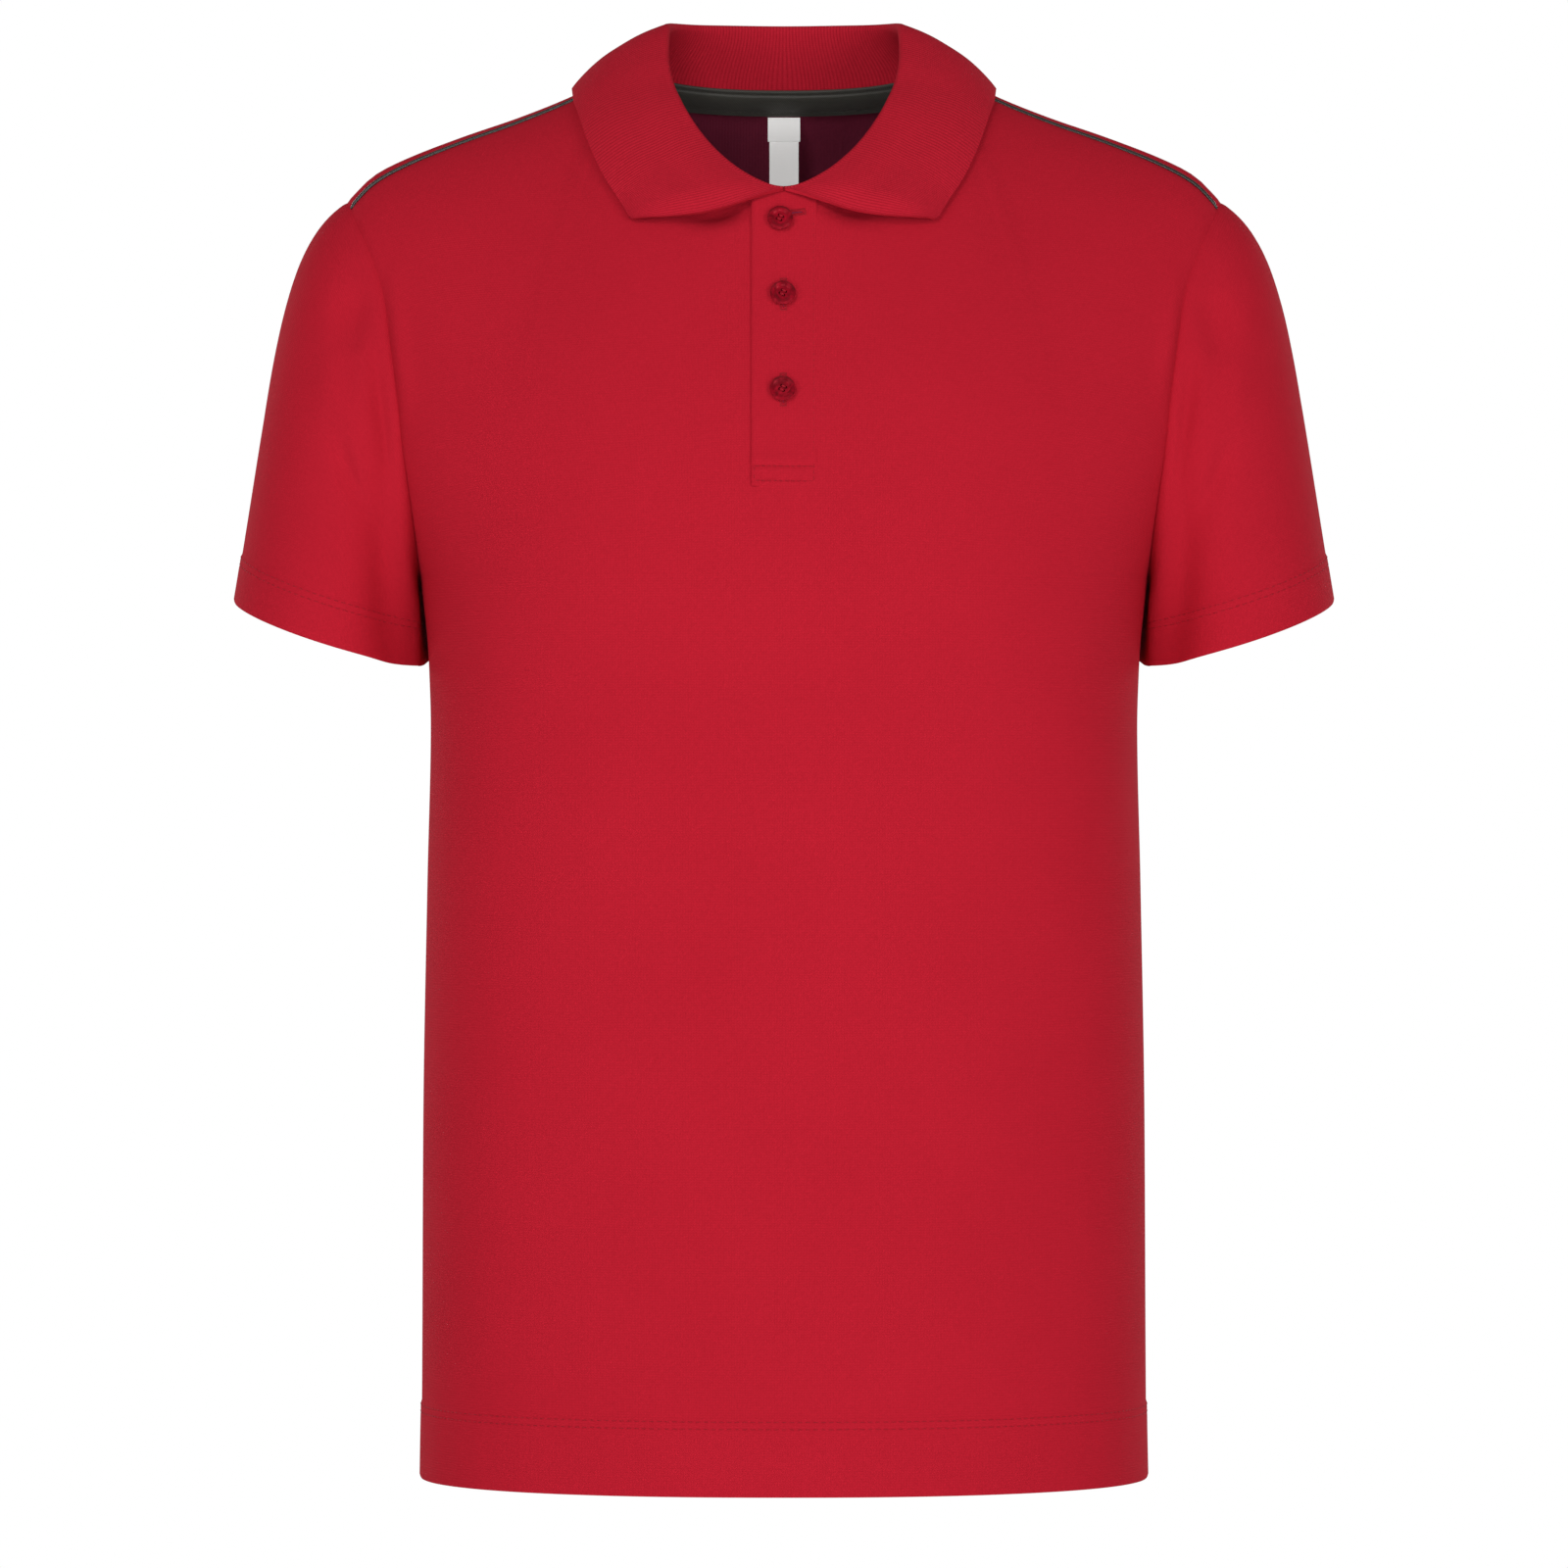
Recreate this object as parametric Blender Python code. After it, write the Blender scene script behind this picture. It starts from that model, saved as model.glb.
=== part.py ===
"""A child's short-sleeved polo shirt, hollow, in the shape it has when it is worn.

Metres, +Z up, the front faces -Y and +X is the wearer's left. The origin is the middle of the neck
opening, level with the highest points of the shoulder seams at the neck. Every panel is a wall of cloth
whose outer points come from one set of body surfaces, so neighbours meet 0.3 mm apart at their seams.
"""

import math

import bmesh
import bpy
from mathutils import Matrix, Vector

MM = 0.001
SEAM_GAP = 0.3 * MM
FRONT = -1
BACK = 1

# Cloth thicknesses
BODY_WALL = 1.2 * MM
HEM_WALL = 2.0 * MM
HEM_STEP = 0.4 * MM
COLLAR_WALL = 1.4 * MM
BAND_WALL = 1.4 * MM
MITRE_LEAST = 0.4
TAPE_WALL = 0.8 * MM
TAPE_BEAD_WALL = 1.4 * MM
LABEL_WALL = 0.4 * MM

# Body heights and the round of its cross-section
HEM_Z = -518 * MM
BODY_HEM_HEIGHT = 28 * MM
UNDERARM_Z = -189 * MM
SHOULDER_X = 161 * MM
SHOULDER_Z = -50 * MM
SECTION_POWER = 2.3
SHOULDER_SHIFT_BACK = 8 * MM

# Body half width at each height, in mm
WIDTH_ROWS = (
    # height, half_width
    (-518, 133.3),
    (-487, 132.8),
    (-387, 132.3),
    (-300, 130.8),
    (-243, 129.6),
    (-221, 130.4),
    (-189, 133.5),
)

# Depth of the body in front of and behind its middle plane, in mm
DEPTH_ROWS = (
    # height, front_depth, back_depth
    (-518, 97.0, 99.0),
    (-400, 95.0, 97.0),
    (-280, 94.0, 96.0),
    (-160, 95.0, 98.0),
    (0, 95.0, 98.0),
)

# Top line of the shoulder from the neck to the sleeve, in mm
RIDGE_ROWS = (
    # distance_out, height
    (55, 0.0),
    (66, -4.6),
    (76, -10.0),
    (97, -18.6),
    (119, -26.2),
    (140, -34.4),
    (151, -40.2),
    (161, -50.0),
)

# Armhole line, seen from the front and from the back, in mm
ARMHOLE_ROWS = (
    # height, distance_out_front, distance_out_back
    (-189, 133.5, 133.5),
    (-177, 134.4, 134.4),
    (-160, 136.4, 137.4),
    (-142, 138.8, 141.0),
    (-125, 140.4, 144.0),
    (-106, 142.8, 147.0),
    (-89, 145.4, 150.2),
    (-70, 151.6, 154.6),
    (-60, 156.2, 157.6),
    (-50, 161.0, 161.0),
)
ARMHOLE_SPREAD = {FRONT: 0.62, BACK: 0.68}

# How the shoulder falls away to the chest and to the back
FALL_HEIGHT = 200 * MM
FALL_POWER = {FRONT: 0.6, BACK: 0.45}
NECK_RISE = {FRONT: 40 * MM, BACK: 3 * MM}
NECK_FALL_EXTRA = {FRONT: 62 * MM, BACK: 0.0}

# Neck opening
NECK_HALF_WIDTH = 55 * MM
NECK_DROP = {FRONT: 51 * MM, BACK: 8 * MM}
NECK_POWER = {FRONT: 2.2, BACK: 2.4}

# Shoulder seam, moved forward of the top line, and its piping
SEAM_FORWARD = 6.0 * MM
SEAM_FADE = 15 * MM
PIPING_RADIUS = 0.8 * MM
PIPING_SINK = 0.3 * MM
PIPING_CLEARANCE = 0.6 * MM
PIPING_END_SHARE = 0.15
PIPING_SLOT = 2 * (PIPING_RADIUS + PIPING_CLEARANCE)

# Placket
PLACKET_HALF_WIDTH = 12.2 * MM
PLACKET_TOP_Z = -51.6 * MM
PLACKET_BOTTOM_Z = -158.2 * MM
PLACKET_CORNER = 3.0 * MM
UPPER_BAND_LIFT = 1.0 * MM
NOTCH_HALF_WIDTH = PLACKET_HALF_WIDTH + SEAM_GAP
NOTCH_BOTTOM_Z = PLACKET_BOTTOM_Z - SEAM_GAP

# Buttons: name, distance to the side and height, in mm
BUTTON_ROWS = (
    # name, side, height
    ("button_top", -1.4, -61.4),
    ("button_middle", -0.4, -88.9),
    ("button_bottom", -0.5, -123.6),
)
BUTTON_RADIUS = 4.6 * MM
BUTTON_THICKNESS = 2.0 * MM
BUTTON_DISH_RADIUS = 3.1 * MM
BUTTON_DISH_DEPTH = 0.6 * MM
BUTTON_HOLE_RADIUS = 0.55 * MM
BUTTON_HOLE_OFFSET = 1.05 * MM

# Neck tape and labels
TAPE_DROP = 5.6 * MM
TAPE_RISE = 3.0 * MM
TAPE_BEAD = 1.3 * MM
TAPE_GAP = 0.5 * MM
TAPE_COLUMNS_SHORT = 3
NAME_LABEL_SIZE = (10.8 * MM, 33 * MM)
SIZE_LABEL_SIZE = (12.0 * MM, 8.6 * MM)
LABEL_LEAN = 0.12

# Sleeves
CUFF_OUTER = Vector((-202.6, 12, -196.6)) * MM
CUFF_INNER = Vector((-127.5, 12, -219.5)) * MM
CUFF_HALF_DEPTH = 46 * MM
CUFF_FRONT_DROP = 6 * MM
CUFF_HEM_HEIGHT = 18 * MM
SLEEVE_CLEARANCE = 1.2 * MM
UNDERARM_GAP = 0.3 * MM
HUG_START = 0.80
HUG_SPREAD = 0.12
CROWN_SHARE = 0.03
TOP_START = Vector((-0.86, 0, -0.5))
UNDERARM_START = Vector((-0.3, 0, -0.95))
START_SPREAD = 0.42
TOP_REACH = (0.20, 0.60)
UNDERARM_REACH = (0.30, 0.34)

# Soft folds pressed into each sleeve; around runs from -1 at the front underarm over 0 at the shoulder
# to 1 at the back underarm, along runs from 0 at the armhole to 1 at the cuff, sizes in mm
SLEEVE_FOLDS = (
    # around_start, along_start, around_end, along_end, half_width, depth
    (-0.30, 0.44, -0.62, 0.42, 7.0, 2.2),
    (-0.34, 0.72, -0.52, 0.72, 6.0, 1.2),
    (0.34, 0.40, 0.64, 0.50, 8.0, 2.0),
    (0.60, 0.70, 0.40, 0.78, 6.0, 1.0),
)

# Collar, one row for each section from the middle of the back to the front edge, in mm. The edge lies
# on the body at its distance out, this far below the top line of the shoulder, on the front or back.
COLLAR_ROWS = (
    # neck_angle, fold_out, fold_y, fold_z, edge_out, edge_drop, edge_side, bulge
    (0, 0.0, 37.0, 17.6, 0.0, 27.0, BACK, 2.0),
    (19, 17.0, 35.0, 17.6, 32.0, 24.0, BACK, 2.2),
    (43, 31.0, 29.5, 17.3, 58.0, 19.0, BACK, 2.4),
    (68, 39.5, 18.5, 16.6, 72.5, 7.0, BACK, 2.8),
    (90, 42.3, 5.0, 14.8, 76.8, 0.0, FRONT, 3.2),
    (105, 42.5, -9.0, 4.4, 76.2, 4.5, FRONT, 3.2),
    (118, 40.6, -20.5, -7.4, 74.0, 12.0, FRONT, 3.2),
    (131, 37.2, -30.0, -15.8, 70.4, 24.5, FRONT, 3.2),
    (144, 31.0, -38.8, -26.4, 64.8, 40.4, FRONT, 3.4),
    (155, 24.6, -45.6, -34.4, 59.8, 50.6, FRONT, 3.6),
    (166, 15.7, -52.4, -42.2, 56.8, 56.6, FRONT, 4.0),
    (174, 7.4, -56.6, -46.6, 55.2, 60.2, FRONT, 4.2),
    (179, 2.4, -58.4, -48.4, 54.4, 61.4, FRONT, 4.2),
)
FOLD_RADIUS = 1.3 * MM
COLLAR_SEAT = 0.5 * MM
NECK_POINT_INSET = 1.3 * MM
LEAF_LIFT = 2.2 * MM
LEAF_CLEARANCE = 2.0 * MM

# Mesh fineness
LOWER_ROWS = 8
UPPER_ROWS = 14
NECK_COLUMNS = 9
SHOULDER_COLUMNS = 7
SLEEVE_ROWS = 9
CUFF_ROWS = 2
COLLAR_COLUMNS = 52
STAND_ROWS = 4
FOLD_ROWS = 4
LEAF_ROWS = 6

# Cloth and trim colours, linear
JERSEY_RED = (0.485, 0.0105, 0.024)
RIB_RED = (0.42, 0.010, 0.022)
TAPE_GREY = (0.035, 0.036, 0.029)
SATIN_WHITE = (0.82, 0.82, 0.82)
BUTTON_RED = (0.55, 0.008, 0.024)


def smooth_lookup(rows, column, key):
    """Reads one column of a table at any key, on a curve that never overshoots its rows."""
    keys = [row[0] for row in rows]
    values = [row[column] for row in rows]
    if key <= keys[0]:
        return values[0]
    if key >= keys[-1]:
        return values[-1]
    steps = [(values[i + 1] - values[i]) / (keys[i + 1] - keys[i]) for i in range(len(keys) - 1)]
    slopes = [steps[0]]
    for before, after in zip(steps, steps[1:]):
        slopes.append(0.0 if before * after <= 0 else 2 * before * after / (before + after))
    slopes.append(steps[-1])
    i = max(j for j in range(len(keys) - 1) if keys[j] <= key)
    span = keys[i + 1] - keys[i]
    s = (key - keys[i]) / span
    return (
        values[i] * (1 + 2 * s) * (1 - s) ** 2
        + slopes[i] * span * s * (1 - s) ** 2
        + values[i + 1] * s * s * (3 - 2 * s)
        + slopes[i + 1] * span * s * s * (s - 1)
    )


def table_value(rows, column, key):
    """Reads a table kept in mm with a key in metres."""
    return smooth_lookup(rows, column, key / MM) * MM


def ease(value):
    """Runs smoothly from 0 to 1."""
    value = min(1.0, max(0.0, value))
    return value * value * (3 - 2 * value)


def round_off(ratio, power):
    """Height of a rounded profile of unit size at a share of its half width."""
    return max(0.0, 1 - min(1.0, abs(ratio)) ** power) ** (1 / power)


def ridge_z(side, x):
    """Height where the surface would close over the shoulder or, inside the neck, over the neck."""
    out = abs(x)
    if out >= NECK_HALF_WIDTH:
        return table_value(RIDGE_ROWS, 1, out)
    return NECK_RISE[side] * math.cos(math.pi / 2 * out / NECK_HALF_WIDTH) ** 2


def fall_height(side, x):
    """Height over which the surface grows from the top line to its full depth."""
    inside = max(0.0, math.cos(math.pi / 2 * min(1.0, abs(x) / NECK_HALF_WIDTH))) ** 2
    return FALL_HEIGHT + NECK_FALL_EXTRA[side] * inside


def middle_y(z):
    """The body's middle plane, which leans back at the shoulders."""
    return SHOULDER_SHIFT_BACK * ease((z - UNDERARM_Z) / (SHOULDER_Z - UNDERARM_Z))


def full_depth(side, z):
    """Depth of the body at its middle."""
    return table_value(DEPTH_ROWS, 1 if side == FRONT else 2, z)


def armhole_x(side, z):
    """Distance of the armhole line from the middle."""
    return table_value(ARMHOLE_ROWS, 1 if side == FRONT else 2, z)


def section_half_width(side, z):
    """Half width of the rounded cross-section, which above the underarm the armhole cuts off."""
    if z <= UNDERARM_Z:
        return table_value(WIDTH_ROWS, 1, z)
    share = min(1.0, (z - UNDERARM_Z) / (SHOULDER_Z - UNDERARM_Z))
    spread = ARMHOLE_SPREAD[side] * math.sqrt(1 - (1 - share) ** 2)
    return armhole_x(side, min(z, SHOULDER_Z)) / round_off(spread, SECTION_POWER)


def depth_at(side, x, z):
    """How far the outer surface stands off the middle plane."""
    fall = min(1.0, max(0.0, (ridge_z(side, x) - z) / fall_height(side, x)))
    grown = math.sin(math.pi / 2 * fall) ** FALL_POWER[side]
    return full_depth(side, z) * grown * round_off(x / section_half_width(side, z), SECTION_POWER)


def surface_point(side, x, z):
    """Point of the outer surface of the front or the back."""
    return Vector((x, middle_y(z) + side * depth_at(side, x, z), z))


def crest_drop(side, x, depth):
    """How far below the shoulder's top line the surface has reached the given depth."""
    z = ridge_z(side, x)
    full = full_depth(side, z) * round_off(x / section_half_width(side, z), SECTION_POWER)
    grown = (depth / full) ** (1 / FALL_POWER[side])
    return fall_height(side, x) * 2 / math.pi * math.asin(min(1.0, grown))


def surface_normal(side, x, z):
    """Unit vector out of the surface, also on the shoulder's top line."""
    step = 0.5 * MM
    if ridge_z(side, x) - z < 4 * MM:
        depth = depth_at(side, x, z)
        slope_x = (ridge_z(side, x + step) - ridge_z(side, x - step)) / (2 * step)
        slope_y = -(crest_drop(side, x, depth + step) - crest_drop(side, x, max(0.0, depth - step))) / (
            depth + step - max(0.0, depth - step)
        )
        if depth < step:
            slope_y = 0.0
        return Vector((-slope_x, -slope_y * side, 1)).normalized()
    slope_x = (depth_at(side, x + step, z) - depth_at(side, x - step, z)) / (2 * step)
    slope_z = (depth_at(side, x, z + step) - depth_at(side, x, z - step)) / (2 * step)
    slope_z += side * (middle_y(z + step) - middle_y(z - step)) / (2 * step)
    return Vector((-slope_x, side, -slope_z)).normalized()


def neckline_point(side, angle):
    """Outward distance and height of the neck seam, by the angle from the middle of that side."""
    out = NECK_HALF_WIDTH * abs(math.sin(angle)) ** (2 / NECK_POWER[side])
    z = -NECK_DROP[side] * abs(math.cos(angle)) ** (2 / NECK_POWER[side])
    return math.copysign(out, angle), z


def seam_forward(x):
    """How far in front of the shoulder's top line the seam runs; it starts on the line at the neck."""
    return SEAM_FORWARD * ease((abs(x) - NECK_HALF_WIDTH) / SEAM_FADE)


def climb_share(row_share):
    """Spreads the rows above the underarm, closer together at the underarm."""
    return row_share ** 1.45


def armhole_place(side, row):
    """Face, distance out and height of a panel's armhole edge, from row 0 at the underarm upwards."""
    share = climb_share(row / UPPER_ROWS)
    if side == FRONT:
        top = math.sqrt(crest_drop(FRONT, SHOULDER_X, SEAM_FORWARD + PIPING_SLOT) / FALL_HEIGHT)
    else:
        top = -math.sqrt(crest_drop(FRONT, SHOULDER_X, SEAM_FORWARD) / FALL_HEIGHT)
    z = UNDERARM_Z + (SHOULDER_Z - UNDERARM_Z) * share
    for _ in range(60):
        x = armhole_x(side, z)
        start = math.sqrt((ridge_z(side, x) - UNDERARM_Z) / FALL_HEIGHT)
        climb = start + (top - start) * share
        z = 0.5 * z + 0.5 * (ridge_z(side, x) - FALL_HEIGHT * climb * climb)
    face = -side if climb < 0 else side
    return face, x, min(z, ridge_z(face, x))


def armhole_around(side, row):
    """Place around the armhole: -1 at the front underarm, 0 at the shoulder, 1 at the back underarm."""
    return side * (1 - (1 - CROWN_SHARE) * row / UPPER_ROWS)


def sleeve_start(around):
    """Direction in which the sleeve leaves the armhole."""
    turn = math.pi * (1 + around)
    top_share = (1 - math.cos(turn)) / 2
    direction = UNDERARM_START.lerp(TOP_START, top_share)
    direction.y -= START_SPREAD * math.sin(turn)
    return direction.normalized()


def armhole_ring():
    """Points of the armhole on the -X side, and for each the one direction that both cut edges share."""
    keys = [(FRONT, row) for row in range(UPPER_ROWS + 1)]
    keys += [(BACK, row) for row in range(UPPER_ROWS, 0, -1)]
    places = {key: armhole_place(*key) for key in keys}
    points = {key: surface_point(face, -x, z) for key, (face, x, z) in places.items()}
    centre = sum(points.values(), Vector()) / len(points)
    directions = {}
    for i, key in enumerate(keys):
        face, x, z = places[key]
        along = points[keys[(i + 1) % len(keys)]] - points[keys[i - 1]]
        on_sleeve = along.cross(sleeve_start(armhole_around(*key))).normalized()
        if on_sleeve.dot(points[key] - centre) < 0:
            on_sleeve.negate()
        shared = surface_normal(face, -x, z) + on_sleeve
        if key[1] == 0:
            shared.y = 0
        directions[key] = shared.normalized()
    points[(BACK, 0)] = points[(FRONT, 0)]
    directions[(BACK, 0)] = directions[(FRONT, 0)]
    return keys, points, directions


def grid_normals(points, closed_across):
    """Unit vectors square to a grid of points, from the differences of its neighbours."""
    rows = len(points)
    columns = len(points[0])
    normals = []
    for i in range(rows):
        line = []
        for j in range(columns):
            left = points[i][(j - 1) % columns if closed_across else max(0, j - 1)]
            right = points[i][(j + 1) % columns if closed_across else min(columns - 1, j + 1)]
            below = points[max(0, i - 1)][j]
            above = points[min(rows - 1, i + 1)][j]
            line.append((right - left).cross(above - below).normalized())
        normals.append(line)
    return normals


def wall(name, outer, inner, material, closed_across=False, holes=()):
    """One closed wall between two grids of points; holes are the grid cells left open."""
    mesh = bmesh.new()
    rows = len(outer)
    columns = len(outer[0])
    across = columns if closed_across else columns - 1
    cells = {(i, j) for i in range(rows - 1) for j in range(across)} - set(holes)
    made = {}

    def corner(layer, i, j):
        key = (layer, i, j % columns)
        if key not in made:
            made[key] = mesh.verts.new((outer, inner)[layer][i][j % columns])
        return made[key]

    for i, j in sorted(cells):
        ring = ((i, j), (i, j + 1), (i + 1, j + 1), (i + 1, j))
        mesh.faces.new([corner(0, *at) for at in ring])
        mesh.faces.new([corner(1, *at) for at in reversed(ring)])
        for k, (di, dj) in enumerate(((-1, 0), (0, 1), (1, 0), (0, -1))):
            beside = (i + di, (j + dj) % columns if closed_across else j + dj)
            if beside not in cells:
                a = ring[k]
                b = ring[(k + 1) % 4]
                mesh.faces.new([corner(0, *b), corner(0, *a), corner(1, *a), corner(1, *b)])
    bmesh.ops.recalc_face_normals(mesh, faces=mesh.faces)
    return finish(name, mesh, material)


def finish(name, mesh, material):
    """Turns a bmesh into a smooth shaded object of the shirt."""
    data = bpy.data.meshes.new(name)
    mesh.to_mesh(data)
    mesh.free()
    data.shade_smooth()
    data.set_sharp_from_angle(angle=math.radians(40))
    data.materials.append(material)
    made = bpy.data.objects.new(name, data)
    shirt_collection.objects.link(made)
    return made


def cloth_material(name, colour, roughness, sheen):
    """Principled finish with a plain colour."""
    material = bpy.data.materials.new(name)
    material.use_nodes = True
    shader = material.node_tree.nodes["Principled BSDF"]
    shader.inputs["Base Color"].default_value = (*colour, 1)
    shader.inputs["Roughness"].default_value = roughness
    shader.inputs["Metallic"].default_value = 0.0
    shader.inputs["Sheen Weight"].default_value = sheen
    return material


def neck_shares():
    """Shares of the quarter turn around the neck opening, closer together towards the shoulder."""
    shares = [k / NECK_COLUMNS for k in range(NECK_COLUMNS)]
    return [(share + math.sin(math.pi / 2 * share)) / 2 for share in shares]


def shoulder_places():
    """Distances out of the columns along the shoulder seam."""
    reach = SHOULDER_X - NECK_HALF_WIDTH
    return [NECK_HALF_WIDTH + reach * k / SHOULDER_COLUMNS for k in range(SHOULDER_COLUMNS + 1)]


def top_places(side):
    """Place of each column of the +X half on the top edge, from the middle to the armhole."""
    first = NOTCH_HALF_WIDTH if side == FRONT else 0.0
    first_angle = math.asin((first / NECK_HALF_WIDTH) ** (NECK_POWER[side] / 2))
    places = []
    for share in neck_shares():
        places.append(neckline_point(side, first_angle + (math.pi / 2 - first_angle) * share))
    return places + [(x, None) for x in shoulder_places()]


def across_places(side, half_width, edge_x):
    """Distances out of a row's columns, evenly spaced around the cross-section up to the edge."""
    first = NOTCH_HALF_WIDTH if side == FRONT else 0.0
    start = math.asin((first / half_width) ** (SECTION_POWER / 2))
    end = math.asin(min(1.0, edge_x / half_width) ** (SECTION_POWER / 2))
    count = NECK_COLUMNS + SHOULDER_COLUMNS
    angles = [start + (end - start) * k / count for k in range(count + 1)]
    return [half_width * math.sin(angle) ** (2 / SECTION_POWER) for angle in angles]


def panel_edge_climb(side, x, z):
    """Square-root climb of the last row: to the neckline, or to the shoulder seam."""
    if z is not None:
        return math.sqrt(max(0.0, ridge_z(side, x) - z) / fall_height(side, x))
    if side == BACK:
        forward = seam_forward(x)
        return -math.sqrt(crest_drop(FRONT, x, forward) / FALL_HEIGHT) if forward > 0 else 0.0
    return math.sqrt(crest_drop(FRONT, x, seam_forward(x) + PIPING_SLOT) / FALL_HEIGHT)


def climbed_point(side, x, climb):
    """Surface point by square-root climb; below zero it lies over the top line on the other side."""
    over = climb < 0
    face = -side if over else side
    z = ridge_z(face, x) - fall_height(face, x) * climb * climb
    return surface_point(face, x, z)


def panel_half(side):
    """Outer points of the +X half of a panel, hem first, middle column first."""
    hem_top = HEM_Z + BODY_HEM_HEIGHT
    heights = [HEM_Z, hem_top - 0.6 * MM, hem_top + 0.6 * MM]
    heights += [hem_top + (UNDERARM_Z - hem_top) * (k + 1) / LOWER_ROWS for k in range(LOWER_ROWS)]
    grid = []
    for z in heights:
        half_width = section_half_width(side, z)
        line = [surface_point(side, x, z) for x in across_places(side, half_width, half_width)]
        line[-1].y = middle_y(z) + side * SEAM_GAP / 2
        grid.append(line)
    top = top_places(side)
    top_climbs = [panel_edge_climb(side, *place) for place in top]
    for row in range(1, UPPER_ROWS + 1):
        share = climb_share(row / UPPER_ROWS)
        face, edge_x, edge_z = armhole_place(side, row)
        below = across_places(side, section_half_width(side, edge_z), edge_x)
        line = []
        for k, place in enumerate(top[:-1]):
            x = below[k] + (place[0] - below[k]) * ease(share)
            start = math.sqrt((ridge_z(side, x) - UNDERARM_Z) / fall_height(side, x))
            climb = start + (top_climbs[k] - start) * share
            line.append(climbed_point(side, x, climb))
        line.append(surface_point(face, edge_x, edge_z))
        grid.append(line)
    return grid


def mirrored_grid(half, middle_column):
    """Whole grid from the -X side to the +X side; a middle column is shared or added."""
    grid = []
    for line in half:
        left = [Vector((-point.x, point.y, point.z)) for point in reversed(line)]
        if middle_column:
            grid.append(left[:-1] + line)
        else:
            middle = Vector((0, (left[-1].y + line[0].y) / 2, line[0].z))
            grid.append(left + [middle] + line)
    return grid


def panel(side, name, material):
    """A body panel: hemmed below, cut to the armholes, the shoulder seams and the neckline."""
    outer = mirrored_grid(panel_half(side), middle_column=side == BACK)
    rows = len(outer)
    columns = len(outer[0])
    middle = columns // 2
    hole_rows = []
    if side == FRONT:
        for line in outer:
            line[middle] = surface_point(FRONT, 0.0, line[middle].z)
        notch_row = min(range(rows), key=lambda i: abs(outer[i][middle].z - NOTCH_BOTTOM_Z))
        for j in (middle - 1, middle, middle + 1):
            outer[notch_row][j] = surface_point(FRONT, outer[notch_row][j].x, NOTCH_BOTTOM_Z)
        hole_rows = range(notch_row, rows - 1)
    normals = grid_normals(outer, closed_across=False)
    underarm_row = rows - 1 - UPPER_ROWS
    shared = armhole_ring()[2]
    for i in range(rows):
        for j, sign in ((0, -1), (columns - 1, 1)):
            if i < underarm_row:
                normals[i][j] = Vector((sign, 0, 0))
            else:
                out = shared[(side, i - underarm_row)]
                normals[i][j] = Vector((-sign * out.x, out.y, out.z))
    facing = normals[2][middle].y * side
    inner = []
    for i, line in enumerate(outer):
        thickness = HEM_WALL if i < 2 else BODY_WALL
        step = HEM_STEP if i < 2 else 0.0
        inner_line = []
        for j, point in enumerate(line):
            edge = j in (0, columns - 1)
            out = normals[i][j] if edge or facing > 0 else -normals[i][j]
            line[j] = point + out * step
            mitre = 1.0
            if edge and i >= underarm_row:
                beside = normals[i][1 if j == 0 else columns - 2] * (1 if facing > 0 else -1)
                mitre = max(MITRE_LEAST, out.dot(beside))
            inner_line.append(line[j] - out * thickness * mitre)
        inner.append(inner_line)
    holes = [(i, j) for i in hole_rows for j in (middle - 1, middle)]
    return wall(name, outer, inner, material, holes=holes)


def torso_reach(y, z):
    """Distance out of the body's side at a place beside it."""
    side = FRONT if y < middle_y(z) else BACK
    depth = full_depth(side, z)
    return section_half_width(side, min(z, UNDERARM_Z)) * round_off((y - middle_y(z)) / depth, SECTION_POWER)


def bezier(a, b, c, d, s):
    """Point on a cubic curve."""
    r = 1 - s
    return a * r**3 + b * 3 * s * r * r + c * 3 * s * s * r + d * s**3


def sleeve_line(around, on_armhole):
    """Outer points of the -X sleeve along one line from the armhole to the cuff."""
    turn = math.pi * (1 + around)
    top_share = (1 - math.cos(turn)) / 2
    start = on_armhole + sleeve_start(around) * SEAM_GAP
    start.x -= UNDERARM_GAP * (1 - top_share) ** 4
    end = CUFF_INNER.lerp(CUFF_OUTER, top_share)
    end.y -= CUFF_HALF_DEPTH * math.sin(turn)
    end.z -= CUFF_FRONT_DROP * math.sin(turn)
    length = (end - start).length
    reach_start = UNDERARM_REACH[0] + (TOP_REACH[0] - UNDERARM_REACH[0]) * top_share
    reach_end = UNDERARM_REACH[1] + (TOP_REACH[1] - UNDERARM_REACH[1]) * top_share
    end_direction = Vector((-0.17 * top_share, 0, -1)).normalized()
    handle_a = start + sleeve_start(around) * length * reach_start
    handle_b = end - end_direction * length * reach_end
    fine = [bezier(start, handle_a, handle_b, end, k / 60) for k in range(61)]
    lengths = [0.0]
    for a, b in zip(fine, fine[1:]):
        lengths.append(lengths[-1] + (b - a).length)
    hem_start = lengths[-1] - CUFF_HEM_HEIGHT
    wanted = [hem_start * (k / SLEEVE_ROWS) ** 1.15 for k in range(SLEEVE_ROWS)]
    wanted += [hem_start - 0.5 * MM, hem_start + 0.5 * MM]
    wanted += [hem_start + CUFF_HEM_HEIGHT * (k + 1) / CUFF_ROWS for k in range(CUFF_ROWS)]
    line = []
    for distance in wanted:
        k = max(0, min(59, sum(1 for value in lengths if value <= distance) - 1))
        part = (distance - lengths[k]) / (lengths[k + 1] - lengths[k])
        line.append(fine[k].lerp(fine[k + 1], part))
    return line, [distance / lengths[-1] for distance in wanted]


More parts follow.
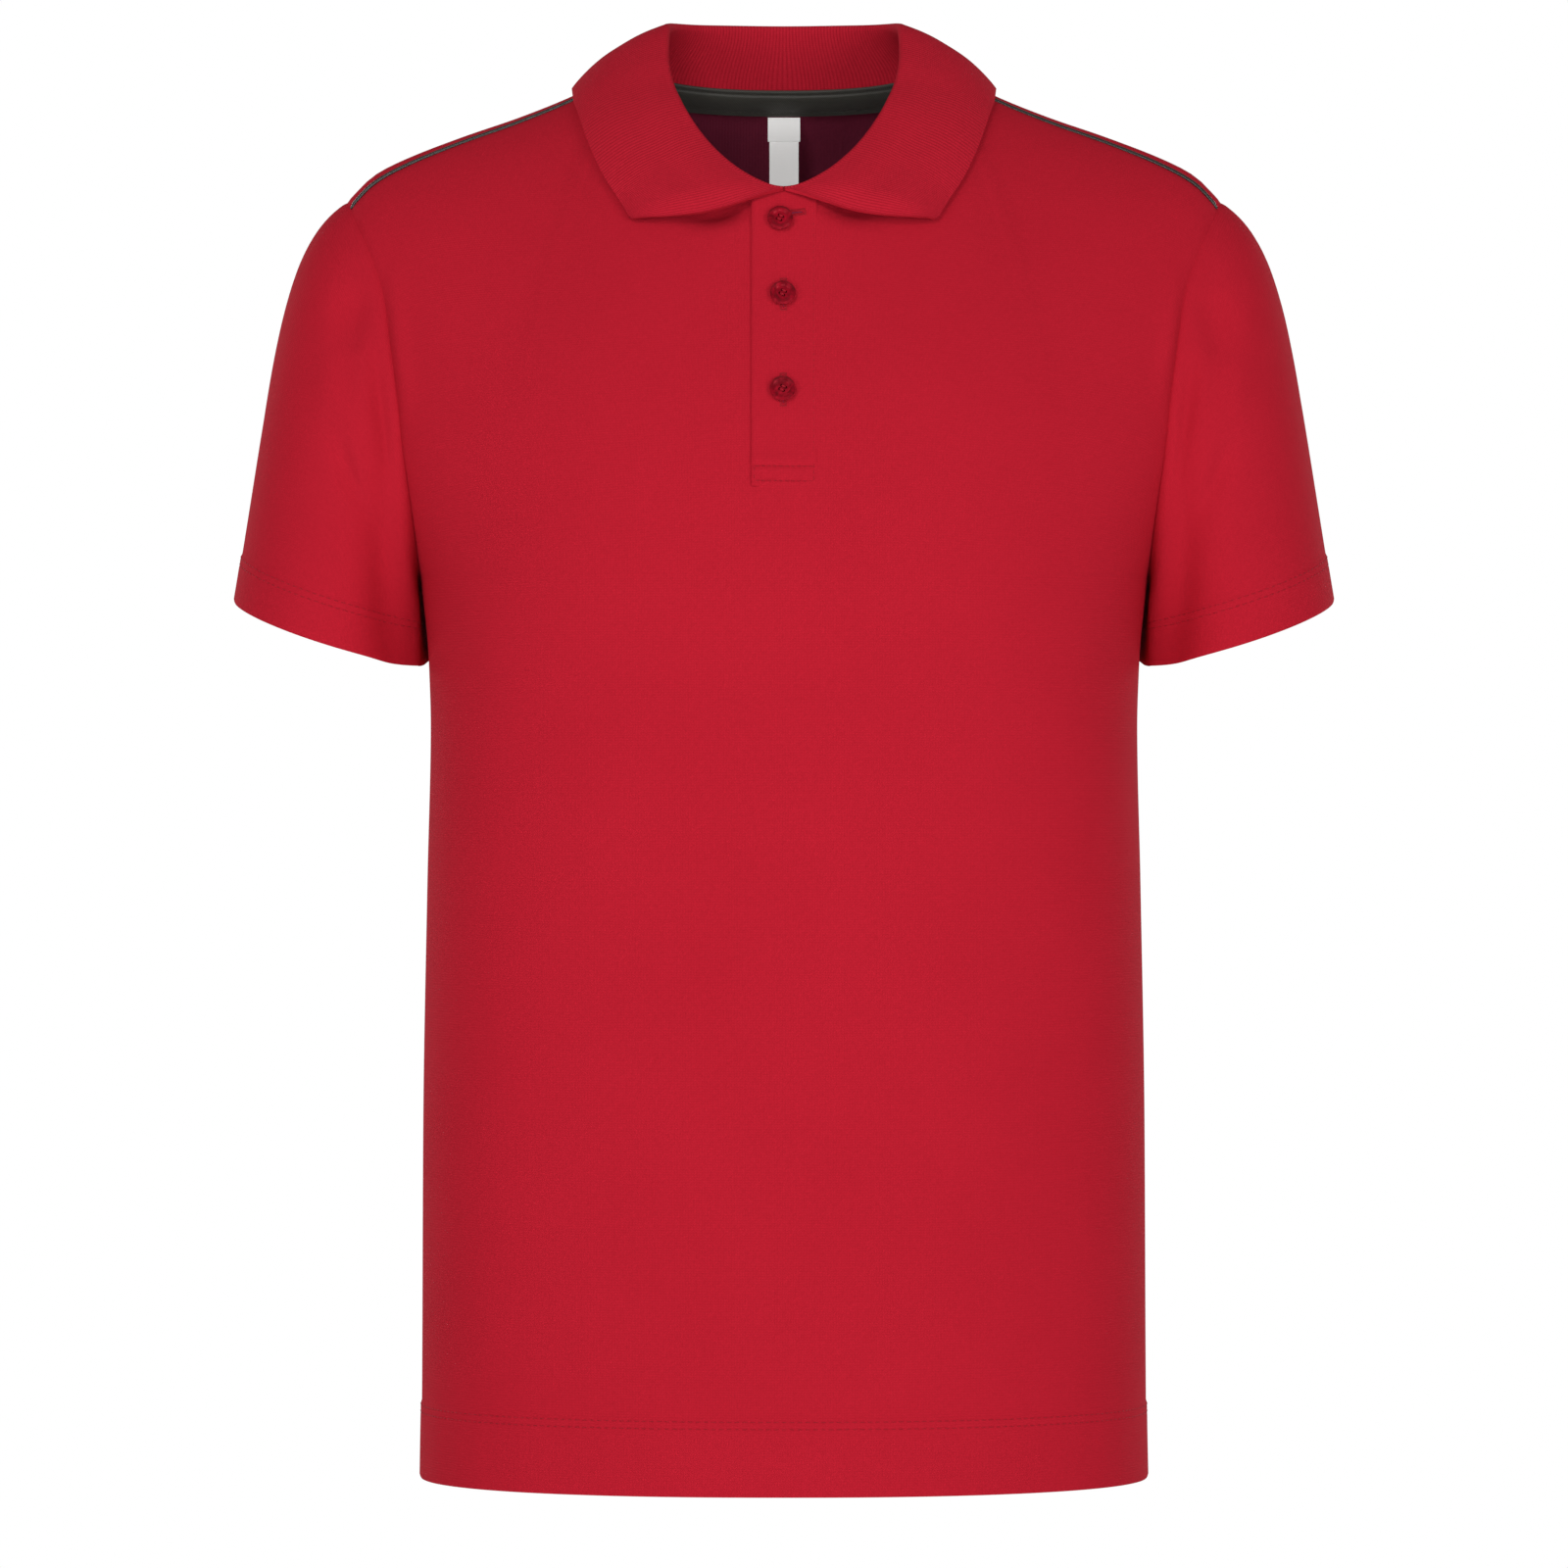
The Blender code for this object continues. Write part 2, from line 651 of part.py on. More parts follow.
def fold_depth(around, along, point, folds):
    """Depth of the pressed folds at a place on the sleeve."""
    total = 0.0
    girth = 300 * MM
    length = 110 * MM
    for around_a, along_a, around_b, along_b, half_width, depth in folds:
        a = Vector((around_a * girth / 2, along_a * length))
        b = Vector((around_b * girth / 2, along_b * length))
        here = Vector((around * girth / 2, along * length))
        share = max(0.0, min(1.0, (here - a).dot(b - a) / (b - a).length_squared))
        off = (here - a.lerp(b, share)).length / (half_width * MM)
        total += depth * MM * math.exp(-off * off)
    return total


def sleeve(name, mirror, material):
    """A set-in sleeve, open at the armhole and at its hemmed cuff, close beside the body."""
    keys, on_armhole, shared = armhole_ring()
    arounds = [armhole_around(*key) for key in keys]
    lines = [sleeve_line(around, on_armhole[key]) for around, key in zip(arounds, keys)]
    rows = len(lines[0][0])
    outer = []
    for i in range(rows):
        ring = []
        for around, (line, alongs) in zip(arounds, lines):
            point = line[i].copy()
            near = torso_reach(point.y, point.z) + SLEEVE_CLEARANCE * ease(alongs[i] * 10)
            if i > 0 and point.z < UNDERARM_Z + 6 * MM:
                hug = ease((around - HUG_START) / HUG_SPREAD) * ease((UNDERARM_Z + 3 * MM - point.z) / (6 * MM))
                point.x = min(point.x - (point.x + near) * hug, -near)
            ring.append(point)
        outer.append(ring)
    normals = grid_normals(outer, closed_across=True)
    middle = Vector((-160 * MM, 12 * MM, -150 * MM))
    sign = 1 if normals[5][UPPER_ROWS // 2].dot(outer[5][UPPER_ROWS // 2] - middle) > 0 else -1
    inner = []
    for i, ring in enumerate(outer):
        hem = i >= rows - 1 - CUFF_ROWS
        inner_ring = []
        for j, point in enumerate(ring):
            thickness = HEM_WALL if hem else BODY_WALL
            out = normals[i][j] * sign
            if i == 0:
                thickness = BODY_WALL * max(MITRE_LEAST, out.dot(shared[keys[j]]))
                out = shared[keys[j]]
            along = lines[j][1][i]
            shift = -fold_depth(arounds[j], along, point, SLEEVE_FOLDS) * ease(along * 5)
            if hem and abs(arounds[j]) < 0.75:
                shift += HEM_STEP
            ring[j] = point + out * shift
            inner_ring.append(ring[j] - out * thickness)
        inner.append(inner_ring)
    if mirror:
        outer = [[Vector((-p.x, p.y, p.z)) for p in ring] for ring in outer]
        inner = [[Vector((-p.x, p.y, p.z)) for p in ring] for ring in inner]
    return wall(name, outer, inner, material, closed_across=True)


def collar_value(column, share):
    """A column of the collar's table at a share of its way from the back to the front."""
    rows = [(k / (len(COLLAR_ROWS) - 1),) + row for k, row in enumerate(COLLAR_ROWS)]
    return smooth_lookup(rows, column + 1, share)


def collar_base(share):
    """Foot of the stand on the neck seam, on the +X half."""
    degrees = collar_value(0, share)
    side = BACK if degrees < 90 else FRONT
    angle = math.radians(degrees if side == BACK else 180 - degrees)
    x, z = neckline_point(side, angle)
    z = min(z, ridge_z(side, x))
    on_body = surface_point(side, x, z)
    out = surface_normal(side, x, z)
    inward = Vector((-math.sin(math.radians(degrees)), -math.cos(math.radians(degrees)), 0))
    up_panel = (inward - out * inward.dot(out)).normalized()
    if up_panel.z < 0.2:
        up_panel = (up_panel + Vector((0, 0, 0.6))).normalized()
    return on_body + (up_panel + out) * COLLAR_SEAT + inward * NECK_POINT_INSET * math.sin(math.radians(degrees)) ** 6


def collar_section(share):
    """Middle line of the collar's cloth: up the stand, over the fold and down the leaf."""
    base = collar_base(share)
    fold = Vector((collar_value(1, share), collar_value(2, share), collar_value(3, share))) * MM
    edge_x = collar_value(4, share) * MM
    edge_drop = collar_value(5, share) * MM
    side = BACK if share < 3.5 / (len(COLLAR_ROWS) - 1) else FRONT
    bulge = collar_value(7, share) * MM
    top_line = ridge_z(side, edge_x) if edge_x > NECK_HALF_WIDTH else 0.0
    if side == BACK and edge_x <= NECK_HALF_WIDTH:
        top_line = ridge_z(BACK, edge_x)
    edge_z = top_line - edge_drop
    edge = surface_point(side, edge_x, edge_z) + surface_normal(side, edge_x, edge_z) * LEAF_LIFT
    step = 0.01
    before = max(0.0, share - step)
    after = min(1.0, share + step)
    along = Vector([(collar_value(k, after) - collar_value(k, before)) for k in (1, 2, 3)]).normalized()
    up = fold - base
    up = (up - along * up.dot(along)).normalized()
    chord = edge - fold
    out = (chord - along * chord.dot(along)).normalized()
    over = (out - up * out.dot(up)).normalized()
    turn = math.acos(max(-1.0, min(1.0, out.dot(up))))
    radius = min(FOLD_RADIUS, (fold - base).length * 0.38)
    centre = fold - up * (radius + COLLAR_WALL / 2)
    inner_start = centre - over * radius
    length = (inner_start - base).length
    handle = base + Vector((0, 0, 1)) * length * 0.35
    points = [
        bezier(base, handle, inner_start - up * length * 0.35, inner_start, k / STAND_ROWS)
        for k in range(STAND_ROWS)
    ]
    for k in range(FOLD_ROWS + 1):
        angle = turn * k / FOLD_ROWS
        points.append(centre - over * radius * math.cos(angle) + up * radius * math.sin(angle))
    leaf_start = points[-1]
    chord = edge - leaf_start
    face = along.cross(out).normalized()
    if face.dot(over + up) < 0:
        face.negate()
    lift = face * bulge / 0.75
    for k in range(1, LEAF_ROWS + 1):
        s = k / LEAF_ROWS
        point = bezier(leaf_start, leaf_start + chord / 3 + lift, leaf_start + chord * 2 / 3 + lift, edge, s)
        points.append(clear_of_body(point))
    return points


def clear_of_body(point):
    """Moves a leaf point out until it stays clear of the panels below it."""
    side = FRONT if point.y < middle_y(point.z) else BACK
    away = abs(point.y - middle_y(point.z))
    top_line = ridge_z(side, point.x)
    if point.z > top_line - 8 * MM:
        on_body = top_line - crest_drop(side, point.x, away)
        out = surface_normal(side, point.x, on_body)
        distance = (point.z - on_body) * out.z
    else:
        out = surface_normal(side, point.x, point.z)
        distance = (away - depth_at(side, point.x, point.z)) * abs(out.y)
    return point + out * max(0.0, LEAF_CLEARANCE - distance)


def collar(material):
    """The collar: one strip of rib cloth around the neck, its two ends meeting at the front."""
    count = COLLAR_COLUMNS // 2
    half = [collar_section((k / count) ** 0.95) for k in range(count + 1)]
    sections = [[Vector((-p.x, p.y, p.z)) for p in line] for line in reversed(half)] + half[1:]
    points = [list(row) for row in zip(*sections)]
    normals = grid_normals(points, closed_across=False)
    outer = []
    inner = []
    for line, directions in zip(points, normals):
        outer.append([p + n * COLLAR_WALL / 2 for p, n in zip(line, directions)])
        inner.append([p - n * COLLAR_WALL / 2 for p, n in zip(line, directions)])
    return wall("collar", outer, inner, material)


def band_grid(lift_left, lift_right, rows, corner):
    """Outer points of a placket band, top row first, lifted off the front's surface."""
    shares = (-1.0, -0.93, -0.75, -0.3, 0.3, 1.0)
    grid = []
    for i in range(rows + 1):
        line = []
        for share in shares:
            x = PLACKET_HALF_WIDTH * share
            from_edge = PLACKET_HALF_WIDTH + x
            round_drop = corner - math.sqrt(max(0.0, corner**2 - max(0.0, corner - from_edge) ** 2))
            top = PLACKET_TOP_Z - round_drop
            z = top + (PLACKET_BOTTOM_Z - top) * i / rows
            lift = lift_left + (lift_right - lift_left) * (share + 1) / 2
            line.append(surface_point(FRONT, x, z) + surface_normal(FRONT, x, z) * lift)
        grid.append(line)
    return grid


def band(name, lift_left, lift_right, corner, material):
    """A placket band, a flat strip that follows the chest."""
    rows = 10
    outer = band_grid(lift_left, lift_right, rows, corner)
    inner = band_grid(lift_left - BAND_WALL, lift_right - BAND_WALL, rows, corner)
    return wall(name, outer, inner, material)


def button(name, side_mm, height_mm, material):
    """A dished button with four holes, lying on the upper band."""
    mesh = bmesh.new()
    profile = (
        (0.0, BUTTON_THICKNESS - BUTTON_DISH_DEPTH),
        (BUTTON_DISH_RADIUS * 0.8, BUTTON_THICKNESS - BUTTON_DISH_DEPTH),
        (BUTTON_DISH_RADIUS, BUTTON_THICKNESS - BUTTON_DISH_DEPTH * 0.4),
        (BUTTON_RADIUS * 0.82, BUTTON_THICKNESS),
        (BUTTON_RADIUS, BUTTON_THICKNESS * 0.72),
        (BUTTON_RADIUS * 0.97, BUTTON_THICKNESS * 0.35),
        (BUTTON_RADIUS * 0.7, 0.0),
        (0.0, 0.0),
    )
    corners = [mesh.verts.new((r, 0, z)) for r, z in profile]
    edges = [mesh.edges.new(pair) for pair in zip(corners, corners[1:])]
    bmesh.ops.spin(
        mesh, geom=corners + edges, cent=(0, 0, 0), axis=(0, 0, 1), angle=2 * math.pi, steps=28, use_merge=True
    )
    bmesh.ops.remove_doubles(mesh, verts=mesh.verts, dist=0.01 * MM)
    bmesh.ops.recalc_face_normals(mesh, faces=mesh.faces)
    made = finish(name, mesh, material)
    for k in range(4):
        angle = math.radians(15 + 90 * k)
        made.modifiers.new("hole", "BOOLEAN").object = button_cutter(angle)
        made.modifiers[-1].solver = "EXACT"
    x = side_mm * MM
    z = height_mm * MM
    out = surface_normal(FRONT, x, z)
    seat = surface_point(FRONT, x, z) + out * (0.5 * UPPER_BAND_LIFT + 0.5 * MM + SEAM_GAP)
    made.matrix_world = Matrix.Translation(seat) @ out.to_track_quat("Z", "Y").to_matrix().to_4x4()
    return made


def place_cutters(made):
    """Carries a button's cutters to where the button lies."""
    for modifier in made.modifiers:
        cutter = modifier.object
        cutter.matrix_world = made.matrix_world @ cutter.matrix_world


def button_cutter(angle):
    """A pin that cuts one thread hole, around the button's own middle."""
    mesh = bmesh.new()
    bmesh.ops.create_cone(
        mesh,
        cap_ends=True,
        segments=10,
        radius1=BUTTON_HOLE_RADIUS,
        radius2=BUTTON_HOLE_RADIUS,
        depth=BUTTON_THICKNESS * 3,
    )
    data = bpy.data.meshes.new("thread_hole")
    mesh.to_mesh(data)
    mesh.free()
    cutter = bpy.data.objects.new("thread_hole", data)
    cutter.hide_render = True
    cutter.display_type = "WIRE"
    cutter_collection.objects.link(cutter)
    offset = Vector((math.cos(angle), math.sin(angle), 0)) * BUTTON_HOLE_OFFSET
    cutter.matrix_world = Matrix.Translation(offset)
    return cutter


def piping(name, sign, material):
    """Thin round piping laid in the shoulder seam between the back and the front."""
    data = bpy.data.curves.new(name, "CURVE")
    data.dimensions = "3D"
    data.bevel_depth = PIPING_RADIUS
    data.bevel_resolution = 2
    data.use_fill_caps = True
    points = []
    for x in shoulder_places():
        depth = seam_forward(x) + PIPING_RADIUS + PIPING_CLEARANCE
        z = ridge_z(FRONT, x) - crest_drop(FRONT, x, depth)
        points.append(surface_point(FRONT, x, z) - surface_normal(FRONT, x, z) * PIPING_SINK)
    points[0] = points[0].lerp(points[1], PIPING_END_SHARE)
    points[-1] = points[-1].lerp(points[-2], PIPING_END_SHARE)
    spline = data.splines.new("POLY")
    spline.points.add(len(points) - 1)
    for corner, point in zip(spline.points, points):
        corner.co = (sign * point.x, point.y, point.z, 1)
    data.materials.append(material)
    made = bpy.data.objects.new(name, data)
    shirt_collection.objects.link(made)
    return made


def tape_profile(angle):
    """Cloth side of the neck tape from its bead, on the stand, down inside the back panel, with the
    direction towards the neck at each point."""
    x, z = neckline_point(BACK, angle)
    out = surface_normal(BACK, x, z)
    rows = [(row[0],) + row for row in COLLAR_ROWS]
    turn = math.degrees(abs(angle))
    fold = Vector([smooth_lookup(rows, column, turn) for column in (2, 3, 4)]) * MM
    fold.x = math.copysign(fold.x, angle)
    lean = fold - surface_point(BACK, x, z)
    slope = math.hypot(lean.x, lean.y) / lean.z
    inward = Vector((-math.sin(angle), -math.cos(angle), 0))
    seam = surface_point(BACK, x, z) - out * BODY_WALL + inward * TAPE_GAP
    seam.z -= SEAM_GAP
    profile = []
    for height in (TAPE_RISE, TAPE_RISE - TAPE_BEAD, 0):
        profile.append((seam + inward * height * slope + Vector((0, 0, height)), inward))
    for drop in (TAPE_DROP * 0.5, TAPE_DROP):
        out = surface_normal(BACK, x, z - drop)
        profile.append((surface_point(BACK, x, z - drop) - out * (BODY_WALL + TAPE_GAP), -out))
    return profile


def neck_tape(material):
    """Tape sewn flat inside the back neck, with a rolled bead along its upper edge."""
    quarter = [math.pi / 2 * share for share in neck_shares()[:-TAPE_COLUMNS_SHORT]]
    angles = [-angle for angle in reversed(quarter[1:])] + quarter
    profiles = [tape_profile(angle) for angle in angles]
    outer = [[profile[i][0] for profile in profiles] for i in range(len(profiles[0]))]
    inner = []
    for i in range(len(outer)):
        thickness = TAPE_BEAD_WALL if i < 2 else TAPE_WALL
        inner.append([profile[i][0] + profile[i][1] * thickness for profile in profiles])
    return wall("neck_tape", outer, inner, material)


def label(name, size, layer, material):
    """A flat woven label that hangs from under the neck tape."""
    foot, out = tape_profile(0.0)[-1]
    foot = foot + out * (TAPE_WALL / 2)
    top = foot.z - TAPE_WALL * 0.5 - SEAM_GAP
    y = foot.y - layer * (LABEL_WALL + SEAM_GAP)
    width, height = size
    bpy.ops.mesh.primitive_cube_add(size=1)
    made = bpy.context.object
    made.name = name
    made.data.name = name
    for corner in made.data.vertices:
        place = Vector((corner.co.x * width, corner.co.y * LABEL_WALL, corner.co.z * height))
        place.z += top - height / 2
        place.y += y + (top - place.z) * LABEL_LEAN
        corner.co = place
    made.data.materials.append(material)
    for holder in list(made.users_collection):
        holder.objects.unlink(made)
    shirt_collection.objects.link(made)
    return made


for item in list(bpy.data.objects):
    bpy.data.objects.remove(item)

shirt_collection = bpy.data.collections.new("polo_shirt")
cutter_collection = bpy.data.collections.new("cutters")
bpy.context.scene.collection.children.link(shirt_collection)
bpy.context.scene.collection.children.link(cutter_collection)

jersey = cloth_material("cotton_jersey_red", JERSEY_RED, 0.85, 0.3)
rib = cloth_material("rib_knit_red", RIB_RED, 0.88, 0.3)
tape_cloth = cloth_material("twill_tape_dark_grey", TAPE_GREY, 0.6, 0.1)
satin = cloth_material("woven_satin_white", SATIN_WHITE, 0.45, 0.0)
resin = cloth_material("polyester_resin_red", BUTTON_RED, 0.22, 0.0)

panel(FRONT, "front", jersey)
panel(BACK, "back", jersey)
sleeve("sleeve_right", False, jersey)
sleeve("sleeve_left", True, jersey)
collar(rib)
band("placket_upper", UPPER_BAND_LIFT, 0.3 * MM, PLACKET_CORNER, jersey)
band("placket_under", UPPER_BAND_LIFT - BAND_WALL - SEAM_GAP, -BAND_WALL, 0.0, jersey)
for button_name, button_side, button_height in BUTTON_ROWS:
    place_cutters(button(button_name, button_side, button_height, resin))
piping("piping_right", -1, tape_cloth)
piping("piping_left", 1, tape_cloth)
neck_tape(tape_cloth)
label("name_label", NAME_LABEL_SIZE, 0, satin)
label("size_label", SIZE_LABEL_SIZE, 1, satin)
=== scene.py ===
"""Dressed looks of a child's short-sleeved polo shirt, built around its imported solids.

The shirt keeps the hollow form it has when it is worn. Every cloth piece is a fine grid laid on the same
body surfaces as its solid, with its creases, hems and rolled seam edges added, and gets its thickness from
Solidify. Forms are worked out in millimetres and written to the meshes in metres.
"""

from __future__ import annotations

import logging
import math
from bisect import bisect_right
from dataclasses import dataclass
from enum import Enum
from typing import Callable, Sequence

import bmesh
import bpy
from mathutils import Matrix, Vector


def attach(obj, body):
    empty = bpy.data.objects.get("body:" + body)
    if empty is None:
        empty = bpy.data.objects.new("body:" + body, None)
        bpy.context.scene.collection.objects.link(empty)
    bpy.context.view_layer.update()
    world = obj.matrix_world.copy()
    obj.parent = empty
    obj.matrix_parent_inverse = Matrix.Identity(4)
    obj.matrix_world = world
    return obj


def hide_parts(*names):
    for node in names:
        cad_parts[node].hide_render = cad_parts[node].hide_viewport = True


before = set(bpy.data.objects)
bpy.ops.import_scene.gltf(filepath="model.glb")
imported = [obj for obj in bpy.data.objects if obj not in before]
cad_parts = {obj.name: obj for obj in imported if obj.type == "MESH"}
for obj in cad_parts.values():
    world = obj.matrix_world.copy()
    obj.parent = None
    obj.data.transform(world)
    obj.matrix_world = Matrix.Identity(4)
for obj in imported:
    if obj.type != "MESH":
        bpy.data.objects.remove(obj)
log = logging.getLogger("polo_shirt")

MM = 0.001
SEAM_GAP = 0.3
UV_LAYER = "cloth"

Grid = list[list[Vector]]
Rows = Sequence[tuple[float, ...]]


class Side(Enum):
    """The two halves of the body; the value is the sign of y."""

    FRONT = -1
    BACK = 1


class SmoothCurve:
    """A table of keys and values, read on a curve that never overshoots its rows."""

    def __init__(self, rows: Rows, column: int = 1) -> None:
        """Keeps the keys, the values and a slope at each row.

        Args:
            rows: rows whose first column is the key.
            column: the column to read.
        """
        self.keys = [row[0] for row in rows]
        self.values = [row[column] for row in rows]
        gaps = zip(self.keys, self.keys[1:], self.values, self.values[1:])
        steps = [(d - c) / (b - a) for a, b, c, d in gaps]
        inner = [0.0 if a * b <= 0 else 2 * a * b / (a + b) for a, b in zip(steps, steps[1:])]
        self.slopes = [steps[0], *inner, steps[-1]]

    def __call__(self, key: float) -> float:
        """Reads the value at any key."""
        if key <= self.keys[0]:
            return self.values[0]
        if key >= self.keys[-1]:
            return self.values[-1]
        i = bisect_right(self.keys, key) - 1
        span = self.keys[i + 1] - self.keys[i]
        s = (key - self.keys[i]) / span
        r = 1 - s
        low = self.values[i] * (1 + 2 * s) + self.slopes[i] * span * s
        high = self.values[i + 1] * (3 - 2 * s) + self.slopes[i + 1] * span * (s - 1)
        return low * r * r + high * s * s


def ease(value: float) -> float:
    """Runs smoothly from 0 to 1."""
    value = min(1.0, max(0.0, value))
    return value * value * (3 - 2 * value)


def bump(distance: float, half_width: float) -> float:
    """A soft hill of height 1 around distance 0."""
    return math.exp(-((distance / half_width) ** 2))


def round_off(ratio: float, power: float) -> float:
    """Height of a rounded profile of unit size at a share of its half width."""
    return max(0.0, 1 - min(1.0, abs(ratio)) ** power) ** (1 / power)


def bezier(a: Vector, b: Vector, c: Vector, d: Vector, s: float) -> Vector:
    """Point on a cubic curve."""
    r = 1 - s
    return a * r**3 + b * 3 * s * r * r + c * 3 * s * s * r + d * s**3


def evenly(start: float, end: float, count: int) -> list[float]:
    """Values from start to end in equal steps, both ends included."""
    return [start + (end - start) * k / count for k in range(count + 1)]


def nearest(values: Sequence[float], wanted: float) -> int:
    """Place of the value that lies closest to the wanted one."""
    return min(range(len(values)), key=lambda k: abs(values[k] - wanted))


HALF_WIDTH = SmoothCurve(
    ((-518, 133.3), (-487, 132.8), (-387, 132.3), (-300, 130.8), (-243, 129.6), (-221, 130.4), (-189, 133.5))
)
DEPTH_ROWS = ((-518, 97.0, 99.0), (-400, 95.0, 97.0), (-280, 94.0, 96.0), (-160, 95.0, 98.0), (0, 95.0, 98.0))
DEPTH = {Side.FRONT: SmoothCurve(DEPTH_ROWS, 1), Side.BACK: SmoothCurve(DEPTH_ROWS, 2)}
RIDGE = SmoothCurve(
    ((55, 0.0), (66, -4.6), (76, -10.0), (97, -18.6), (119, -26.2), (140, -34.4), (151, -40.2), (161, -50.0))
)
ARMHOLE_ROWS = (
    (-189, 133.5, 133.5),
    (-177, 134.4, 134.4),
    (-160, 136.4, 137.4),
    (-142, 138.8, 141.0),
    (-125, 140.4, 144.0),
    (-106, 142.8, 147.0),
    (-89, 145.4, 150.2),
    (-70, 151.6, 154.6),
    (-60, 156.2, 157.6),
    (-50, 161.0, 161.0),
)
ARMHOLE = {Side.FRONT: SmoothCurve(ARMHOLE_ROWS, 1), Side.BACK: SmoothCurve(ARMHOLE_ROWS, 2)}
ARMHOLE_SPREAD = {Side.FRONT: 0.62, Side.BACK: 0.68}
FALL_POWER = {Side.FRONT: 0.6, Side.BACK: 0.45}
NECK_RISE = {Side.FRONT: 40.0, Side.BACK: 3.0}
NECK_FALL_EXTRA = {Side.FRONT: 62.0, Side.BACK: 0.0}
NECK_DROP = {Side.FRONT: 51.0, Side.BACK: 8.0}
NECK_POWER = {Side.FRONT: 2.2, Side.BACK: 2.4}


@dataclass(frozen=True)
class BodyForm:
    """The filled-out body that every panel lies on. Sizes in mm, as the solids have them."""

    hem_z: float = -518.0
    underarm_z: float = -189.0
    shoulder_x: float = 161.0
    shoulder_z: float = -50.0
    section_power: float = 2.3
    lean_back: float = 8.0
    fall: float = 200.0
    neck_half_width: float = 55.0
    seam_forward: float = 6.0
    seam_fade: float = 15.0
    piping_slot: float = 2.3
    slit_half_width: float = 11.7
    slit_bottom_z: float = -158.5
    neck_share: float = 9 / 16
    edge_share: float = 0.85

    def ridge_z(self, side: Side, x: float) -> float:
        """Height where the surface would close over the shoulder or, inside the neck, over the neck."""
        out = abs(x)
        if out >= self.neck_half_width:
            return RIDGE(out)
        return NECK_RISE[side] * math.cos(math.pi / 2 * out / self.neck_half_width) ** 2

    def fall_height(self, side: Side, x: float) -> float:
        """Height over which the surface grows from the top line to its full depth."""
        inside = max(0.0, math.cos(math.pi / 2 * min(1.0, abs(x) / self.neck_half_width))) ** 2
        return self.fall + NECK_FALL_EXTRA[side] * inside

    def middle_y(self, z: float) -> float:
        """The body's middle plane, which leans back at the shoulders."""
        return self.lean_back * ease((z - self.underarm_z) / (self.shoulder_z - self.underarm_z))

    def half_width(self, side: Side, z: float) -> float:
        """Half width of the rounded cross-section, which above the underarm the armhole cuts off."""
        if z <= self.underarm_z:
            return HALF_WIDTH(z)
        share = min(1.0, (z - self.underarm_z) / (self.shoulder_z - self.underarm_z))
        spread = ARMHOLE_SPREAD[side] * math.sqrt(1 - (1 - share) ** 2)
        return ARMHOLE[side](min(z, self.shoulder_z)) / round_off(spread, self.section_power)

    def depth(self, side: Side, x: float, z: float) -> float:
        """How far the outer surface stands off the middle plane."""
        fall = min(1.0, max(0.0, (self.ridge_z(side, x) - z) / self.fall_height(side, x)))
        grown = math.sin(math.pi / 2 * fall) ** FALL_POWER[side]
        return DEPTH[side](z) * grown * round_off(x / self.half_width(side, z), self.section_power)

    def point(self, side: Side, x: float, z: float) -> Vector:
        """Point of the outer surface."""
        return Vector((x, self.middle_y(z) + side.value * self.depth(side, x, z), z))

    def crest_drop(self, side: Side, x: float, depth: float) -> float:
        """How far below the shoulder's top line the surface has reached the given depth."""
        z = self.ridge_z(side, x)
        full = DEPTH[side](z) * round_off(x / self.half_width(side, z), self.section_power)
        grown = (depth / full) ** (1 / FALL_POWER[side])
        return self.fall_height(side, x) * 2 / math.pi * math.asin(min(1.0, grown))

    def normal(self, side: Side, x: float, z: float) -> Vector:
        """Unit vector out of the surface, also on the shoulder's top line."""
        h = 0.5
        if self.ridge_z(side, x) - z < 4:
            depth = self.depth(side, x, z)
            slope_x = (self.ridge_z(side, x + h) - self.ridge_z(side, x - h)) / (2 * h)
            nearer = max(0.0, depth - h)
            drop = self.crest_drop(side, x, depth + h) - self.crest_drop(side, x, nearer)
            slope_y = 0.0 if depth < h else -drop / (depth + h - nearer)
            return Vector((-slope_x, -slope_y * side.value, 1)).normalized()
        slope_x = (self.depth(side, x + h, z) - self.depth(side, x - h, z)) / (2 * h)
        slope_z = (self.depth(side, x, z + h) - self.depth(side, x, z - h)) / (2 * h)
        slope_z += side.value * (self.middle_y(z + h) - self.middle_y(z - h)) / (2 * h)
        return Vector((-slope_x, side.value, -slope_z)).normalized()

    def neckline(self, side: Side, angle: float) -> tuple[float, float]:
        """Distance out and height of the neck seam, by the angle from the middle of that side."""
        power = 2 / NECK_POWER[side]
        out = self.neck_half_width * abs(math.sin(angle)) ** power
        return math.copysign(out, angle), -NECK_DROP[side] * abs(math.cos(angle)) ** power

    def seam_ahead(self, x: float) -> float:
        """How far in front of the shoulder's top line its seam runs."""
        return self.seam_forward * ease((abs(x) - self.neck_half_width) / self.seam_fade)

    def armhole(self, side: Side, share: float) -> tuple[Side, float, float]:
        """A place on the armhole edge.

        Args:
            side: the panel whose edge it is.
            share: 0 at the underarm, 1 at the shoulder.

        Returns:
            The face of the body it lies on, its distance out and its height.
        """
        risen = share**1.45
        ahead = self.seam_forward + (self.piping_slot if side is Side.FRONT else 0.0)
        top = math.sqrt(self.crest_drop(Side.FRONT, self.shoulder_x, ahead) / self.fall) * -side.value
        z = self.underarm_z + (self.shoulder_z - self.underarm_z) * risen
        for _ in range(60):
            x = ARMHOLE[side](z)
            start = math.sqrt((self.ridge_z(side, x) - self.underarm_z) / self.fall)
            climb = start + (top - start) * risen
            z = 0.5 * z + 0.5 * (self.ridge_z(side, x) - self.fall * climb * climb)
        face = Side(-side.value) if climb < 0 else side
        return face, x, min(z, self.ridge_z(face, x))

